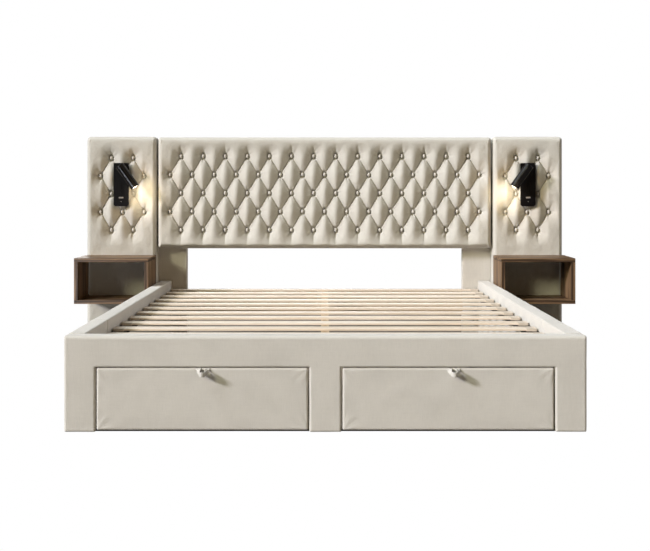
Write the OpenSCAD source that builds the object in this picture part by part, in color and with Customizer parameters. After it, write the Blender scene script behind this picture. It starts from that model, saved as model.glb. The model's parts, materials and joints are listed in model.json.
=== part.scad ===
// Upholstered platform bed: button-tufted headboard with two side wings, a
// swivelling reading lamp and an open walnut shelf on each wing, a slatted base,
// and two wheeled drawers that pull out of the footboard.
//
// Every part below is drawn in bed coordinates: X across the bed from its centre
// plane, Y from the footboard's front face (Y = 0) towards the headboard, Z up
// from the floor.  at_origin() then moves it so that the origin is the middle of
// the whole bed's footprint on the floor.

/* [Bed frame] */
// Outer width across the two side rails
frame_w = 1652; // [1500:1:1800]
// Footboard front face to the front of the headboard posts
frame_l = 2095; // [2000:1:2200]
// Height of the footboard and of the side rails
rail_h = 304; // [296:1:330]
// Thickness of an upholstered side rail
rail_t = 56; // [50:1:70]
// Floor clearance under the side rails
rail_z0 = 20; // [5:1:60]
// Thickness of the upholstered footboard
foot_t = 60; // [52:1:80]
// Depth of the footboard's top beam
beam_h = 99.3; // [90:0.1:110]
// Width of the footboard's outer legs
foot_leg_w = 100; // [90:1:120]
// Width of the footboard's centre leg
foot_mid_w = 102; // [90:1:120]
// Radius of the padded edges
edge_r = 12; // [6:1:16]
// Thickness of foam and fabric around the frame's timber
wrap = 10; // [8:1:12]

/* [Slatted base] */
// Height of the slats' top face
slat_top = 264; // [250:1:280]
// Width of one slat
slat_w = 62; // [50:1:80]
// Thickness of one slat
slat_t = 8; // [8:1:12]
// Front edge of the first slat
slat_first = 160; // [120:1:200]
// Distance from one slat to the next
slat_pitch = 168.5; // [120:0.5:190]
// Wall thickness of the plastic slat end caps
cap_wall = 2; // [1.5:0.5:3]
// Width of the centre support beam
mid_beam_w = 30; // [24:1:36]
// Depth of the centre support beam
mid_beam_h = 50; // [40:1:60]
// Radius of a centre support leg
mid_leg_r = 16; // [12:1:20]

/* [Headboard] */
// Full width of the tufted centre panel
panel_w = 1650; // [1500:1:1660]
// Height of the centre panel's lower edge
panel_z0 = 468; // [400:1:520]
// Height of the centre panel's top edge
panel_z1 = 1021; // [980:1:1060]
// Depth of the padded panel in front of the posts
panel_d = 91; // [85:1:100]
// Thickness of the timber board behind the padding
board_t = 40; // [30:1:45]
// Width of one headboard post
post_w = 140; // [110:1:160]
// Thickness of one headboard post
post_t = 45; // [40:1:60]
// Height of the headboard posts
post_h = 880; // [840:1:940]

/* [Wings] */
// Distance of a wing's inner edge from the centre plane
wing_x0 = 835; // [835:1:900]
// Width of one wing
wing_w = 343; // [320:1:380]
// Height of one wing
wing_h = 1024; // [1000:1:1060]
// Thickness of foam and fabric around a wing's board
wing_wrap = 8; // [6:1:10]

/* [Tufting] */
// Height of the lowest row of buttons
button_z0 = 561; // [550:1:575]
// Distance between rows of buttons
button_dz = 91.75; // [85:0.25:95]
// Distance between buttons in one row of the centre panel
button_dx = 109.9; // [100:0.1:111]
// Distance of a wing's paired buttons from its centre line
wing_button_dx = 54; // [45:1:60]
// Distance between rows of buttons on a wing
wing_button_dz = 89.5; // [85:0.25:92]
// Radius of a covered button
button_r = 11.5; // [9:0.5:13]
// Depth of a button's pit below the front of the padding
pit_d = 24; // [18:1:30]

/* [Shelves] */
// Width of one shelf box
shelf_w = 351; // [330:1:380]
// Height of one shelf box
shelf_h = 216; // [190:1:240]
// Depth of one shelf box
shelf_d = 251; // [220:1:300]
// Thickness of the shelf boards
shelf_t = 18; // [15:1:22]
// Height of the underside of a shelf box
shelf_z0 = 221; // [200:1:240]

/* [Lamps] */
// Width of the lamp's backplate
plate_w = 74; // [66:1:80]
// Height of the lamp's backplate
plate_h = 214; // [200:1:220]
// Height of the lower edge of the backplate
plate_z0 = 679; // [670:1:690]
// Thickness of the backplate
plate_t = 12; // [10:1:14]
// Radius of the cylindrical lamp head
head_r = 22; // [18:0.5:23]
// Length of the lamp head
head_l = 132; // [110:1:150]
// Height of the swivel axis
pivot_z = 874; // [862:1:876]
// Distance of the swivel axis from the backplate's centre line, towards the bed
pivot_dx = 5; // [0:0.5:8]
// Angle of the lamp head from vertical at rest, towards the bed
head_a = 35.5; // [0:0.5:80]

/* [Drawers] */
// Gap around a closed drawer front
drawer_gap = 3; // [2:0.5:5]
// Thickness of the padded drawer front
front_t = 38; // [34:1:42]
// Overall depth of a drawer, from its front face
drawer_d = 820; // [600:10:900]
// Thickness of the drawer's side and back boards
box_t = 15; // [12:1:18]
// Height of the underside of the drawer box
box_z0 = 42; // [42:1:46]
// Height of the top edge of the drawer box
box_z1 = 165; // [140:1:180]
// Radius of a drawer wheel
wheel_r = 18; // [16:0.5:18]
// Width of a drawer wheel
wheel_w = 16; // [12:1:20]
// Length of the fabric pull loop
pull_l = 44; // [36:1:60]
// Height of the fabric pull loop's strap
pull_h = 22; // [14:1:24]

/* [Hidden] */
$fn = 48;
e = 0.01;
half = frame_w / 2;
back_y = frame_l + post_t;
origin_y = (back_y - pull_l) / 2;
beam_z0 = rail_h - beam_h;
panel_y0 = frame_l - panel_d;
board_y0 = frame_l - board_t;
inner_x = half - rail_t;
slat_z0 = slat_top - slat_t;
ledger_z1 = slat_z0 - cap_wall;
ledger_w = 25;
slat_x = inner_x - 12;
slat_n = floor((frame_l - slat_first - slat_w - 8) / slat_pitch) + 1;
cap_l = 32;
hanger_t = 3;
mid_leg_y = [450, 1050, 1650];
mid_beam_z0 = slat_z0 - mid_beam_h;
wing_cx = wing_x0 + wing_w / 2;
pit_r = 15;
housing_w = 60;
housing_h = 190;
plate_y1 = panel_y0 + 2;
plate_y0 = plate_y1 - plate_t;
pin_off = 12;
head_off = 30.5;
head_back = 8;
usb_z = plate_z0 + 43;
dot_z = plate_z0 + 23;
d_x0 = foot_mid_w / 2 + drawer_gap;
d_x1 = half - foot_leg_w - drawer_gap;
d_cx = (d_x0 + d_x1) / 2;
d_z0 = 6;
d_z1 = beam_z0 - 2.5;
box_x0 = d_x0 + 10;
box_x1 = d_x1 - 10;
wheel_dx = (box_x1 - box_x0) / 2 - 55;
wheel_y = [110, drawer_d - 80];
bracket_h = 150;
bracket_z0 = 70;
bolt_r = 4;
wing_bracket_z = [120, 560, 850];
fabric = [0.77, 0.74, 0.70];
pine = [0.88, 0.80, 0.70];
walnut = [0.36, 0.25, 0.18];

// ---------- helpers ----------

module at_origin() { translate([0, -origin_y, 0]) children(); }

// children on the left (X < 0) side as drawn, or mirrored to the right
module on_side(s) { if (s < 0) children(); else mirror([1, 0, 0]) children(); }

// both sides
module both() { for (s = [-1, 1]) on_side(s) children(); }

// box from one corner to the opposite one
module block(a, b) { translate(a) cube(b - a); }

// prism along +Y of a 2D outline given in X and Z
module along_y(y0, y1) {
    translate([0, y1, 0]) rotate([90, 0, 0]) linear_extrude(y1 - y0) children();
}

// prism along +X of a 2D outline given in Y and Z
module along_x(x0, x1) {
    translate([x0, 0, 0]) rotate([90, 0, 90]) linear_extrude(x1 - x0) children();
}

// rectangle with true round corners, from a to b
module round_rect(a, b, r) {
    translate([a[0] + r, a[1]]) square([b[0] - a[0] - 2 * r, b[1] - a[1]]);
    translate([a[0], a[1] + r]) square([b[0] - a[0], b[1] - a[1] - 2 * r]);
    for (x = [a[0] + r, b[0] - r], y = [a[1] + r, b[1] - r])
        translate([x, y]) circle(r = r);
}

// round bar or bore from p along axis "x", "y" or "z"
module rod(p, axis, r, l) {
    translate(p) rotate(axis == "x" ? [0, 90, 0] : axis == "y" ? [-90, 0, 0] : [0, 0, 0])
        cylinder(r = r, h = l);
}

// hexagon-head bolt: p is the point under its head, and its shank runs along
// +axis when d is 1, or along -axis when d is -1
module bolt(p, axis, d, l = 34) {
    translate(p) rotate(axis == "x" ? [0, 90 * d, 0] : [-90 * d, 0, 0]) {
        cylinder(r = bolt_r, h = l);
        translate([0, 0, -5.5]) cylinder(r = 7.5, h = 5.5, $fn = 6);
    }
}

// ---------- footboard ----------

module footboard_core() {
    block([-half + wrap, wrap, beam_z0 + wrap], [half - wrap, foot_t - wrap, rail_h - wrap]);
    for (s = [-1, 1])
        translate([s * (half - foot_leg_w / 2), 0, 0])
            block([-foot_leg_w / 2 + wrap, wrap, wrap],
                  [foot_leg_w / 2 - wrap, foot_t - wrap, beam_z0 + wrap + 1]);
    block([-foot_mid_w / 2 + wrap, wrap, wrap],
          [foot_mid_w / 2 - wrap, foot_t - wrap, beam_z0 + wrap + 1]);
}

module footboard_frame() { color(pine) at_origin() footboard_core(); }

module footboard_top_cover() {
    color(fabric) at_origin() difference() {
        along_x(-half, half) union() {
            round_rect([0, beam_z0], [foot_t, rail_h], edge_r);
            translate([0, beam_z0]) square([foot_t, beam_h / 2]);
        }
        footboard_core();
    }
}

module footboard_leg_covers() {
    color(fabric) at_origin() difference() {
        for (c = [[-half, -half + foot_leg_w], [half - foot_leg_w, half],
                  [-foot_mid_w / 2, foot_mid_w / 2]])
            linear_extrude(beam_z0)
                round_rect([c[0], 0], [c[1], foot_t], 4);
        footboard_core();
    }
}

// ---------- side rails and their fixings ----------

module rail_core() {
    block([-half + wrap, foot_t, rail_z0 + wrap], [-inner_x - wrap, frame_l, rail_h - wrap]);
}

module side_rail_boards() { color(pine) at_origin() both() rail_core(); }

module side_rail_covers() {
    color(fabric) at_origin() both() along_y(foot_t, frame_l) difference() {
        round_rect([-half, rail_z0], [-inner_x, rail_h], edge_r);
        translate([-half + wrap, rail_z0 + wrap])
            square([rail_t - 2 * wrap, rail_h - rail_z0 - 2 * wrap]);
    }
}

// steel angle in one corner: y is the face that its short leg lies on, and d is
// the direction that its long leg runs in
module corner_bracket(y, d) {
    z0 = bracket_z0;
    z1 = bracket_z0 + bracket_h;
    difference() {
        union() {
            block([-inner_x, min(y, y + d * 70), z0], [-inner_x + 4, max(y, y + d * 70), z1]);
            block([-inner_x, min(y, y + d * 4), z0], [-inner_x + 40, max(y, y + d * 4), z1]);
        }
        for (z = [z0 + 35, z1 - 35]) {
            rod([-inner_x - 1, y + d * 45, z], "x", bolt_r + 0.4, 6);
            rod([-inner_x + 24, y + d * 2 - 4, z], "y", bolt_r + 0.4, 8);
        }
    }
}

module corner_brackets() {
    color("silver") at_origin() both() {
        corner_bracket(foot_t, 1);
        corner_bracket(frame_l, -1);
    }
}

// plate on the wing's back and on the outer face of the headboard post
module wing_bracket(z) {
    difference() {
        union() {
            block([-wing_x0 - 3, frame_l, z - 20], [-wing_x0, frame_l + 38, z + 20]);
            block([-wing_x0 - 50, frame_l, z - 20], [-wing_x0, frame_l + 3, z + 20]);
        }
        rod([-wing_x0 - 4, frame_l + 22, z], "x", bolt_r + 0.4, 6);
        rod([-wing_x0 - 32, frame_l - 1, z], "y", bolt_r + 0.4, 6);
    }
}

module wing_brackets() {
    color("silver") at_origin() both() for (z = wing_bracket_z) wing_bracket(z);
}

module frame_bolts() {
    color("gray") at_origin() both() {
        for (z = [bracket_z0 + 35, bracket_z0 + bracket_h - 35]) {
            for (c = [[foot_t, 1], [frame_l, -1]]) {
                bolt([-inner_x + 4, c[0] + c[1] * 45, z], "x", -1);
                bolt([-inner_x + 24, c[0] + c[1] * 4, z], "y", -c[1]);
            }
        }
        for (z = [540, 690, 840])
            bolt([-half + 61, back_y - 8, z], "y", -1, 60);
        for (z = wing_bracket_z) {
            bolt([-wing_x0 - 3, frame_l + 22, z], "x", 1);
            bolt([-wing_x0 - 32, frame_l + 3, z], "y", -1);
        }
    }
}

// ---------- slatted base ----------

module slat_ledgers() {
    color(pine) at_origin() both()
        block([-inner_x, foot_t + 4, ledger_z1 - 32], [-inner_x + ledger_w, frame_l - 4, ledger_z1]);
}

module center_beam() {
    color(pine) at_origin()
        block([-mid_beam_w / 2, foot_t + hanger_t, mid_beam_z0],
              [mid_beam_w / 2, frame_l - hanger_t, slat_z0]);
}

// folded steel saddle that carries one end of the centre beam
module beam_hanger(y, d) {
    w = mid_beam_w / 2;
    z0 = mid_beam_z0 - hanger_t;
    difference() {
        block([-w - 22, min(y, y + d * hanger_t), z0],
              [w + 22, max(y, y + d * hanger_t), z0 + 44]);
        for (x = [-w - 12, w + 12], z = [z0 + 12, z0 + 32])
            rod([x, y - 5, z], "y", 2.5, 10);
    }
    block([-w - hanger_t, min(y, y + d * 40), z0], [w + hanger_t, max(y, y + d * 40), mid_beam_z0]);
    for (x = [-w - hanger_t, w])
        block([x, min(y, y + d * 40), z0], [x + hanger_t, max(y, y + d * 40), mid_beam_z0 + 30]);
}

module beam_hangers() {
    color("silver") at_origin() {
        beam_hanger(foot_t, 1);
        beam_hanger(frame_l, -1);
    }
}

module center_legs() {
    color(pine) at_origin() for (y = mid_leg_y) difference() {
        rod([0, y, 26], "z", mid_leg_r, mid_beam_z0 - 26);
        rod([0, y, 20], "z", 5.1, 26);
    }
}

module leveling_feet() {
    color("dimgray") at_origin() for (y = mid_leg_y) {
        rod([0, y, 0], "z", 21, 5);
        translate([0, y, 5]) cylinder(r1 = 21, r2 = 12, h = 6);
        rod([0, y, 10], "z", 5, 30);
    }
}

// a slat; its ends are rebated on top, so that the end caps lie flush with it
module slat_bar(i) {
    y = slat_first + i * slat_pitch;
    block([-slat_x + cap_l, y, slat_z0], [slat_x - cap_l, y + slat_w, slat_top]);
    block([-slat_x, y, slat_z0], [slat_x, y + slat_w, slat_top - cap_wall]);
}

module slats() { color(pine) at_origin() for (i = [0:slat_n - 1]) slat_bar(i); }

module slat_caps() {
    color("gainsboro") at_origin() both() for (i = [0:slat_n - 1]) {
        y = slat_first + i * slat_pitch;
        difference() {
            translate([0, 0, ledger_z1]) linear_extrude(slat_t + cap_wall) union() {
                round_rect([-slat_x - 6, y - cap_wall], [-slat_x + cap_l, y + slat_w + cap_wall], 5);
                translate([-slat_x + 15, y - cap_wall]) square([cap_l - 15, slat_w + 2 * cap_wall]);
            }
            slat_bar(i);
        }
    }
}

// ---------- headboard ----------

module head_cross_rail() {
    color(pine) at_origin()
        block([-wing_x0 + post_w, frame_l, slat_z0 - 106], [wing_x0 - post_w, frame_l + 40, slat_z0]);
}

module head_posts() {
    color(fabric) at_origin() both() difference() {
        linear_extrude(post_h) round_rect([-wing_x0, frame_l], [-wing_x0 + post_w, back_y], 4);
        for (z = [540, 690, 840]) {
            rod([-half + 61, back_y - 8, z], "y", 9, 9);
            rod([-half + 61, frame_l - 1, z], "y", bolt_r + 0.4, post_t);
        }
    }
}

module panel_core() {
    block([-panel_w / 2 + wrap, board_y0, panel_z0 + wrap],
          [panel_w / 2 - wrap, frame_l, panel_z1 - wrap]);
}

module headboard_board() { color(pine) at_origin() panel_core(); }

// centres of the buttons of the centre panel, as [x, z]
panel_buttons = [for (r = [0:4]) let (n = r % 2 == 0 ? 14 : 15)
    for (k = [0:n - 1]) [(k - (n - 1) / 2) * button_dx, button_z0 + r * button_dz]];

// centres of a wing's buttons from its centre line; the middle one of the fourth
// row is left out, because the lamp's backplate covers its place
wing_buttons = [for (r = [0:4])
    for (k = r % 2 == 0 ? [-1, 1] : r == 3 ? [-2, 2] : [-2, 0, 2])
        [k * wing_button_dx, button_z0 + r * wing_button_dz]];

module pit(p) {
    translate([p[0], panel_y0 + pit_d, p[1]]) rotate([90, 0, 0])
        cylinder(r = pit_r, h = pit_d + 1, $fn = 8);
}

module headboard_cushion() {
    color(fabric) at_origin() difference() {
        block([-panel_w / 2, panel_y0, panel_z0], [panel_w / 2, frame_l, panel_z1]);
        panel_core();
        for (p = panel_buttons) pit(p);
    }
}

module covered_button(p) {
    translate([p[0], panel_y0 + pit_d, p[1]]) rotate([90, 0, 0]) {
        cylinder(r = button_r, h = 6);
        translate([0, 0, 6]) cylinder(r1 = button_r, r2 = button_r * 0.7, h = 3);
    }
}

module tuft_buttons() {
    color(fabric) at_origin() {
        for (p = panel_buttons) covered_button(p);
        for (s = [-1, 1], p = wing_buttons) covered_button([s * wing_cx + p[0], p[1]]);
    }
}

// ---------- wings ----------

// timber of one wing: thick behind the shelf, thin behind the tufting
module wing_core() {
    x0 = -wing_x0 - wing_w + wing_wrap;
    x1 = -wing_x0 - wing_wrap;
    block([x0, panel_y0 + wing_wrap, wing_wrap], [x1, frame_l, shelf_z0 + shelf_h + 4]);
    block([x0, board_y0, wing_wrap], [x1, frame_l, wing_h - wing_wrap]);
}

module wing_boards() {
    color(pine) at_origin() both() difference() {
        wing_core();
        rod([-wing_cx, board_y0 - 1, plate_z0 + 107], "y", 10, board_t + 2);
    }
}

module wing_cushion() {
    difference() {
        block([-wing_x0 - wing_w, panel_y0, 0], [-wing_x0, frame_l, wing_h]);
        wing_core();
        for (p = wing_buttons) pit([-wing_cx + p[0], p[1]]);
        block([-wing_cx - plate_w / 2 - 0.5, panel_y0 - 1, plate_z0 - 0.5],
              [-wing_cx + plate_w / 2 + 0.5, plate_y1, plate_z0 + plate_h + 0.5]);
        block([-wing_cx - housing_w / 2 - 0.5, panel_y0 - 1, plate_z0 + 11.5],
              [-wing_cx + housing_w / 2 + 0.5, board_y0 + 1, plate_z0 + housing_h + 12.5]);
    }
}

module left_wing_cushion() { color(fabric) at_origin() on_side(-1) wing_cushion(); }
module right_wing_cushion() { color(fabric) at_origin() on_side(1) wing_cushion(); }

// ---------- shelves ----------

module shelf_board(z) {
    block([-wing_x0 - shelf_w, panel_y0 - shelf_d, z], [-wing_x0, panel_y0, z + shelf_t]);
}

module shelf_side_pair() {
    for (x = [-wing_x0 - shelf_w, -wing_x0 - shelf_t])
        block([x, panel_y0 - shelf_d, shelf_z0 + shelf_t],
              [x + shelf_t, panel_y0, shelf_z0 + shelf_h - shelf_t]);
}

module left_shelf_top() { color(walnut) at_origin() on_side(-1) shelf_board(shelf_z0 + shelf_h - shelf_t); }
module left_shelf_bottom() { color(walnut) at_origin() on_side(-1) shelf_board(shelf_z0); }
module left_shelf_sides() { color(walnut) at_origin() on_side(-1) shelf_side_pair(); }
module right_shelf_top() { color(walnut) at_origin() on_side(1) shelf_board(shelf_z0 + shelf_h - shelf_t); }
module right_shelf_bottom() { color(walnut) at_origin() on_side(1) shelf_board(shelf_z0); }
module right_shelf_sides() { color(walnut) at_origin() on_side(1) shelf_side_pair(); }

// long screws from the back of each wing into the ends of the shelf boards
module shelf_screws() {
    color("gray") at_origin() both()
        for (x = [-wing_x0 - 55, -wing_x0 - shelf_w + 60],
             z = [shelf_z0 + shelf_t / 2, shelf_z0 + shelf_h - shelf_t / 2])
            translate([x, frame_l, z]) rotate([90, 0, 0]) {
                cylinder(r = 2.5, h = panel_d + 30);
                translate([0, 0, -3]) cylinder(r = 5, h = 3);
            }
}

// ---------- reading lamps ----------

// outline of the backplate in X and Z: rounder at its foot than at its head
module plate_outline(m) {
    w = plate_w / 2 - m;
    round_rect([-w, plate_z0 + m], [w, plate_z0 + plate_h - m], 12 - m);
    round_rect([-w, plate_z0 + plate_h / 2], [w, plate_z0 + plate_h - m], 3);
}

module lamp_backplate() {
    translate([-wing_cx, 0, 0]) difference() {
        union() {
            along_y(plate_y0 + 1.2, plate_y1) plate_outline(0);
            along_y(plate_y0, plate_y0 + 2) plate_outline(1.2);
            block([-housing_w / 2, plate_y1 - 1, plate_z0 + 12],
                  [housing_w / 2, board_y0, plate_z0 + 12 + housing_h]);
        }
        rod([pivot_dx, plate_y0 - 1, pivot_z], "y", 5.05, 12);
        block([-11.2, plate_y0 - 1, usb_z - 3.45], [11.2, plate_y0 + 10, usb_z + 3.45]);
        rod([0, plate_y0 - 1, dot_z], "y", 2.1, 3.5);
        block([-0.8, plate_y0 - 1, usb_z + 18], [0.8, plate_y0 + 0.8, usb_z + 106]);
    }
}

module left_lamp_backplate() { color([0.09, 0.09, 0.09]) at_origin() on_side(-1) lamp_backplate(); }
module right_lamp_backplate() { color([0.09, 0.09, 0.09]) at_origin() on_side(1) lamp_backplate(); }

module usb_ports() {
    color("white") at_origin() both() translate([-wing_cx, 0, 0]) difference() {
        block([-11, plate_y0 + 0.4, usb_z - 3.25], [11, plate_y0 + 10, usb_z + 3.25]);
        for (x = [-5.4, 5.4])
            block([x - 4.2, plate_y0 - 1, usb_z - 1.1], [x + 4.2, plate_y0 + 7, usb_z + 1.1]);
    }
}

module lamp_indicators() {
    color("white") at_origin() both() rod([-wing_cx, plate_y0 + 0.3, dot_z], "y", 2, 2.2);
}

// soft bushing where the supply lead leaves the back of the wing
module cable_grommets() {
    color([0.1, 0.1, 0.1]) at_origin() both() translate([-wing_cx, 0, plate_z0 + 107])
        difference() {
            union() {
                rod([0, frame_l - 12, 0], "y", 9.9, 13);
                rod([0, frame_l, 0], "y", 14, 3);
            }
            rod([0, frame_l - 13, 0], "y", 5, 20);
        }
}

// lamp coordinates: origin on the tilt pin, -Z along the head, -Y away from the
// wing, X along the pin
module lamp_frame() {
    translate([pivot_dx - wing_cx, plate_y0 - pin_off, pivot_z]) rotate([0, -head_a, 0]) children();
}

module lamp_knuckle() {
    lamp_frame() {
        rod([0, pin_off - 2.7, 0], "y", 13, 2.5);
        rod([0, pin_off - 0.3, 0], "y", 5, 10);
        for (x = [-8.2, 4.2]) {
            rod([x, 0, 0], "x", 6.5, 4);
            block([x, 0, -6.5], [x + 4, pin_off - 2.5, 6.5]);
        }
        rod([-8.2, 0, 0], "x", 2.5, 16.4);
    }
}

module left_lamp_knuckle() { color([0.12, 0.12, 0.12]) at_origin() on_side(-1) lamp_knuckle(); }
module right_lamp_knuckle() { color([0.12, 0.12, 0.12]) at_origin() on_side(1) lamp_knuckle(); }

// half outline of the head: a thin tube with a rounded, closed back end
module head_profile() {
    b = head_back;
    r = head_r;
    difference() {
        union() {
            translate([0, b - head_l]) square([r, head_l - 3]);
            translate([0, b - 3 - e]) square([r - 3, 3 + e]);
            translate([r - 3, b - 3]) intersection() {
                circle(r = 3);
                square([3, 3]);
            }
        }
        translate([-1, b - head_l - 1]) square([r - 1, head_l - 3]);
    }
}

module lamp_head() {
    lamp_frame() difference() {
        union() {
            translate([0, -head_off, 0]) rotate_extrude() head_profile();
            rod([-4, 0, 0], "x", 6, 8);
            block([-4, -head_off + head_r - 2, -6], [4, 0, 6]);
        }
        rod([-5, 0, 0], "x", 2.55, 10);
    }
}

module left_lamp_head() { color([0.09, 0.09, 0.09]) at_origin() on_side(-1) lamp_head(); }
module right_lamp_head() { color([0.09, 0.09, 0.09]) at_origin() on_side(1) lamp_head(); }

// light source and its diffuser, pressed into the front of the head
module lamp_led() {
    lamp_frame() translate([0, -head_off, head_back - head_l + 2.5])
        cylinder(r = head_r - 2.1, h = 9);
}

module left_lamp_led() { color([1, 0.93, 0.78]) at_origin() on_side(-1) lamp_led(); }
module right_lamp_led() { color([1, 0.93, 0.78]) at_origin() on_side(1) lamp_led(); }

// ---------- drawers ----------

module front_core() {
    block([-d_x1 + wrap, front_t - 22, d_z0 + wrap], [-d_x0 - wrap, front_t, d_z1 - wrap]);
}

module drawer_front_cover() {
    difference() {
        block([-d_x1, 0, d_z0], [-d_x0, front_t, d_z1]);
        front_core();
    }
}

module drawer_sides() {
    for (x = [-box_x1, -box_x0 - box_t])
        block([x, front_t, box_z0], [x + box_t, drawer_d, box_z1]);
}

module drawer_back() {
    block([-box_x1 + box_t, drawer_d - box_t, box_z0], [-box_x0 - box_t, drawer_d, box_z1]);
}

module drawer_bottom() {
    block([-box_x1 + box_t, front_t, box_z0], [-box_x0 - box_t, drawer_d - box_t, box_z0 + 10]);
}

// fabric pull loop: two arms from the drawer's face, and a round nose
module drawer_pull(x) {
    r = 8.5;
    w = 16.5;
    c = r - pull_l;
    translate([x, 0, d_z1 + 1 - pull_h]) {
        for (s = [-1, 1]) linear_extrude(pull_h)
            polygon([[s * w, 0], [s * (w - 3), 0], [s * (r - 3), c], [s * r, c]]);
        translate([0, c, 0]) difference() {
            cylinder(r = r, h = pull_h);
            translate([0, 0, -1]) cylinder(r = r - 3, h = pull_h + 2);
            block([-r - 1, 0, -1], [r + 1, r + 1, pull_h + 1]);
        }
    }
}

// fork with its axle, under the drawer's bottom
module wheel_bracket(x, y) {
    w = wheel_w / 2 + 1;
    translate([x, y, 0]) {
        block([-w - 8, -22, box_z0 - 3], [w + 8, 22, box_z0]);
        for (c = [-w - 3, w]) {
            block([c, -9, wheel_r], [c + 3, 9, box_z0 - 2]);
            rod([c, 0, wheel_r], "x", 9, 3);
        }
        rod([-w - 3, 0, wheel_r], "x", 2.5, 2 * w + 6);
    }
}

module drawer_wheel_brackets() {
    for (x = [-d_cx - wheel_dx, -d_cx + wheel_dx], y = wheel_y) wheel_bracket(x, y);
}

module wheel_pair(y) {
    for (x = [-d_cx - wheel_dx, -d_cx + wheel_dx]) difference() {
        rod([x - wheel_w / 2, y, wheel_r], "x", wheel_r, wheel_w);
        rod([x - wheel_w / 2 - 1, y, wheel_r], "x", 2.55, wheel_w + 2);
    }
}

module left_drawer_front_cover() { color(fabric) at_origin() on_side(-1) drawer_front_cover(); }
module left_drawer_front_board() { color(pine) at_origin() on_side(-1) front_core(); }
module left_drawer_sides() { color(pine) at_origin() on_side(-1) drawer_sides(); }
module left_drawer_back() { color(pine) at_origin() on_side(-1) drawer_back(); }
module left_drawer_bottom() { color(pine) at_origin() on_side(-1) drawer_bottom(); }
module left_drawer_pull() { color(fabric) at_origin() drawer_pull(-d_cx + 3); }
module left_drawer_wheel_brackets() { color("dimgray") at_origin() on_side(-1) drawer_wheel_brackets(); }
module left_front_wheels() { color([0.2, 0.2, 0.2]) at_origin() on_side(-1) wheel_pair(wheel_y[0]); }
module left_rear_wheels() { color([0.2, 0.2, 0.2]) at_origin() on_side(-1) wheel_pair(wheel_y[1]); }

module right_drawer_front_cover() { color(fabric) at_origin() on_side(1) drawer_front_cover(); }
module right_drawer_front_board() { color(pine) at_origin() on_side(1) front_core(); }
module right_drawer_sides() { color(pine) at_origin() on_side(1) drawer_sides(); }
module right_drawer_back() { color(pine) at_origin() on_side(1) drawer_back(); }
module right_drawer_bottom() { color(pine) at_origin() on_side(1) drawer_bottom(); }
module right_drawer_pull() { color(fabric) at_origin() drawer_pull(d_cx + 16); }
module right_drawer_wheel_brackets() { color("dimgray") at_origin() on_side(1) drawer_wheel_brackets(); }
module right_front_wheels() { color([0.2, 0.2, 0.2]) at_origin() on_side(1) wheel_pair(wheel_y[0]); }
module right_rear_wheels() { color([0.2, 0.2, 0.2]) at_origin() on_side(1) wheel_pair(wheel_y[1]); }

// ---------- all parts ----------

footboard_frame();
footboard_top_cover();
footboard_leg_covers();
side_rail_boards();
side_rail_covers();
corner_brackets();
frame_bolts();
slat_ledgers();
center_beam();
beam_hangers();
center_legs();
leveling_feet();
slats();
slat_caps();
head_cross_rail();
head_posts();
headboard_board();
headboard_cushion();
tuft_buttons();
wing_boards();
left_wing_cushion();
right_wing_cushion();
wing_brackets();
left_shelf_top();
left_shelf_bottom();
left_shelf_sides();
right_shelf_top();
right_shelf_bottom();
right_shelf_sides();
shelf_screws();
left_lamp_backplate();
right_lamp_backplate();
usb_ports();
lamp_indicators();
cable_grommets();
left_lamp_knuckle();
right_lamp_knuckle();
left_lamp_head();
right_lamp_head();
left_lamp_led();
right_lamp_led();
left_drawer_front_cover();
left_drawer_front_board();
left_drawer_sides();
left_drawer_back();
left_drawer_bottom();
left_drawer_pull();
left_drawer_wheel_brackets();
left_front_wheels();
left_rear_wheels();
right_drawer_front_cover();
right_drawer_front_board();
right_drawer_sides();
right_drawer_back();
right_drawer_bottom();
right_drawer_pull();
right_drawer_wheel_brackets();
right_front_wheels();
right_rear_wheels();
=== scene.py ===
import json
import math

import bmesh
import bpy
import numpy as np
from mathutils import Matrix, Vector

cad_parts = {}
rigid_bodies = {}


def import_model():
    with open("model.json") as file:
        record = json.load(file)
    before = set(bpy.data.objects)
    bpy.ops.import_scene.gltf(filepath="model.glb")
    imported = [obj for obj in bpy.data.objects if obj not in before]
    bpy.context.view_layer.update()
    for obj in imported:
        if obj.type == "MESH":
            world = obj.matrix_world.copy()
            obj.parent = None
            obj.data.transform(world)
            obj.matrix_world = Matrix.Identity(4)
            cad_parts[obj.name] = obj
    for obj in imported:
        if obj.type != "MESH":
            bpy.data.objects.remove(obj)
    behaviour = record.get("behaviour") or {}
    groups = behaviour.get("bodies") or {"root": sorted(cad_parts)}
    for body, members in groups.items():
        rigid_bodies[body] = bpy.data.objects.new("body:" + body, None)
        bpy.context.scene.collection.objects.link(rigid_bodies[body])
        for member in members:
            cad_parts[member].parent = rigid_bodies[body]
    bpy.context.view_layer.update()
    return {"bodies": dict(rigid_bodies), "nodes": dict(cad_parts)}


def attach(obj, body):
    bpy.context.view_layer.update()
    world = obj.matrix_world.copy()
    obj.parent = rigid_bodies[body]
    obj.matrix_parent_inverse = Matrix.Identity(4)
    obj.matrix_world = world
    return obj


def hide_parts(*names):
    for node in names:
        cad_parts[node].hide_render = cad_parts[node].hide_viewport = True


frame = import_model()
NODES = frame["nodes"]


# All lengths below are metres.  Y is measured from the footboard's front face
# and moved by OY when a mesh is made.
OY = 1.048
HALF = 0.826
PANEL_Y = 2.004
BACK_Y = 2.095
BZ0, BDZ = 0.561, 0.09175
WING_CX = 1.0065


# ---------- noise and small helpers ----------

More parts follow.
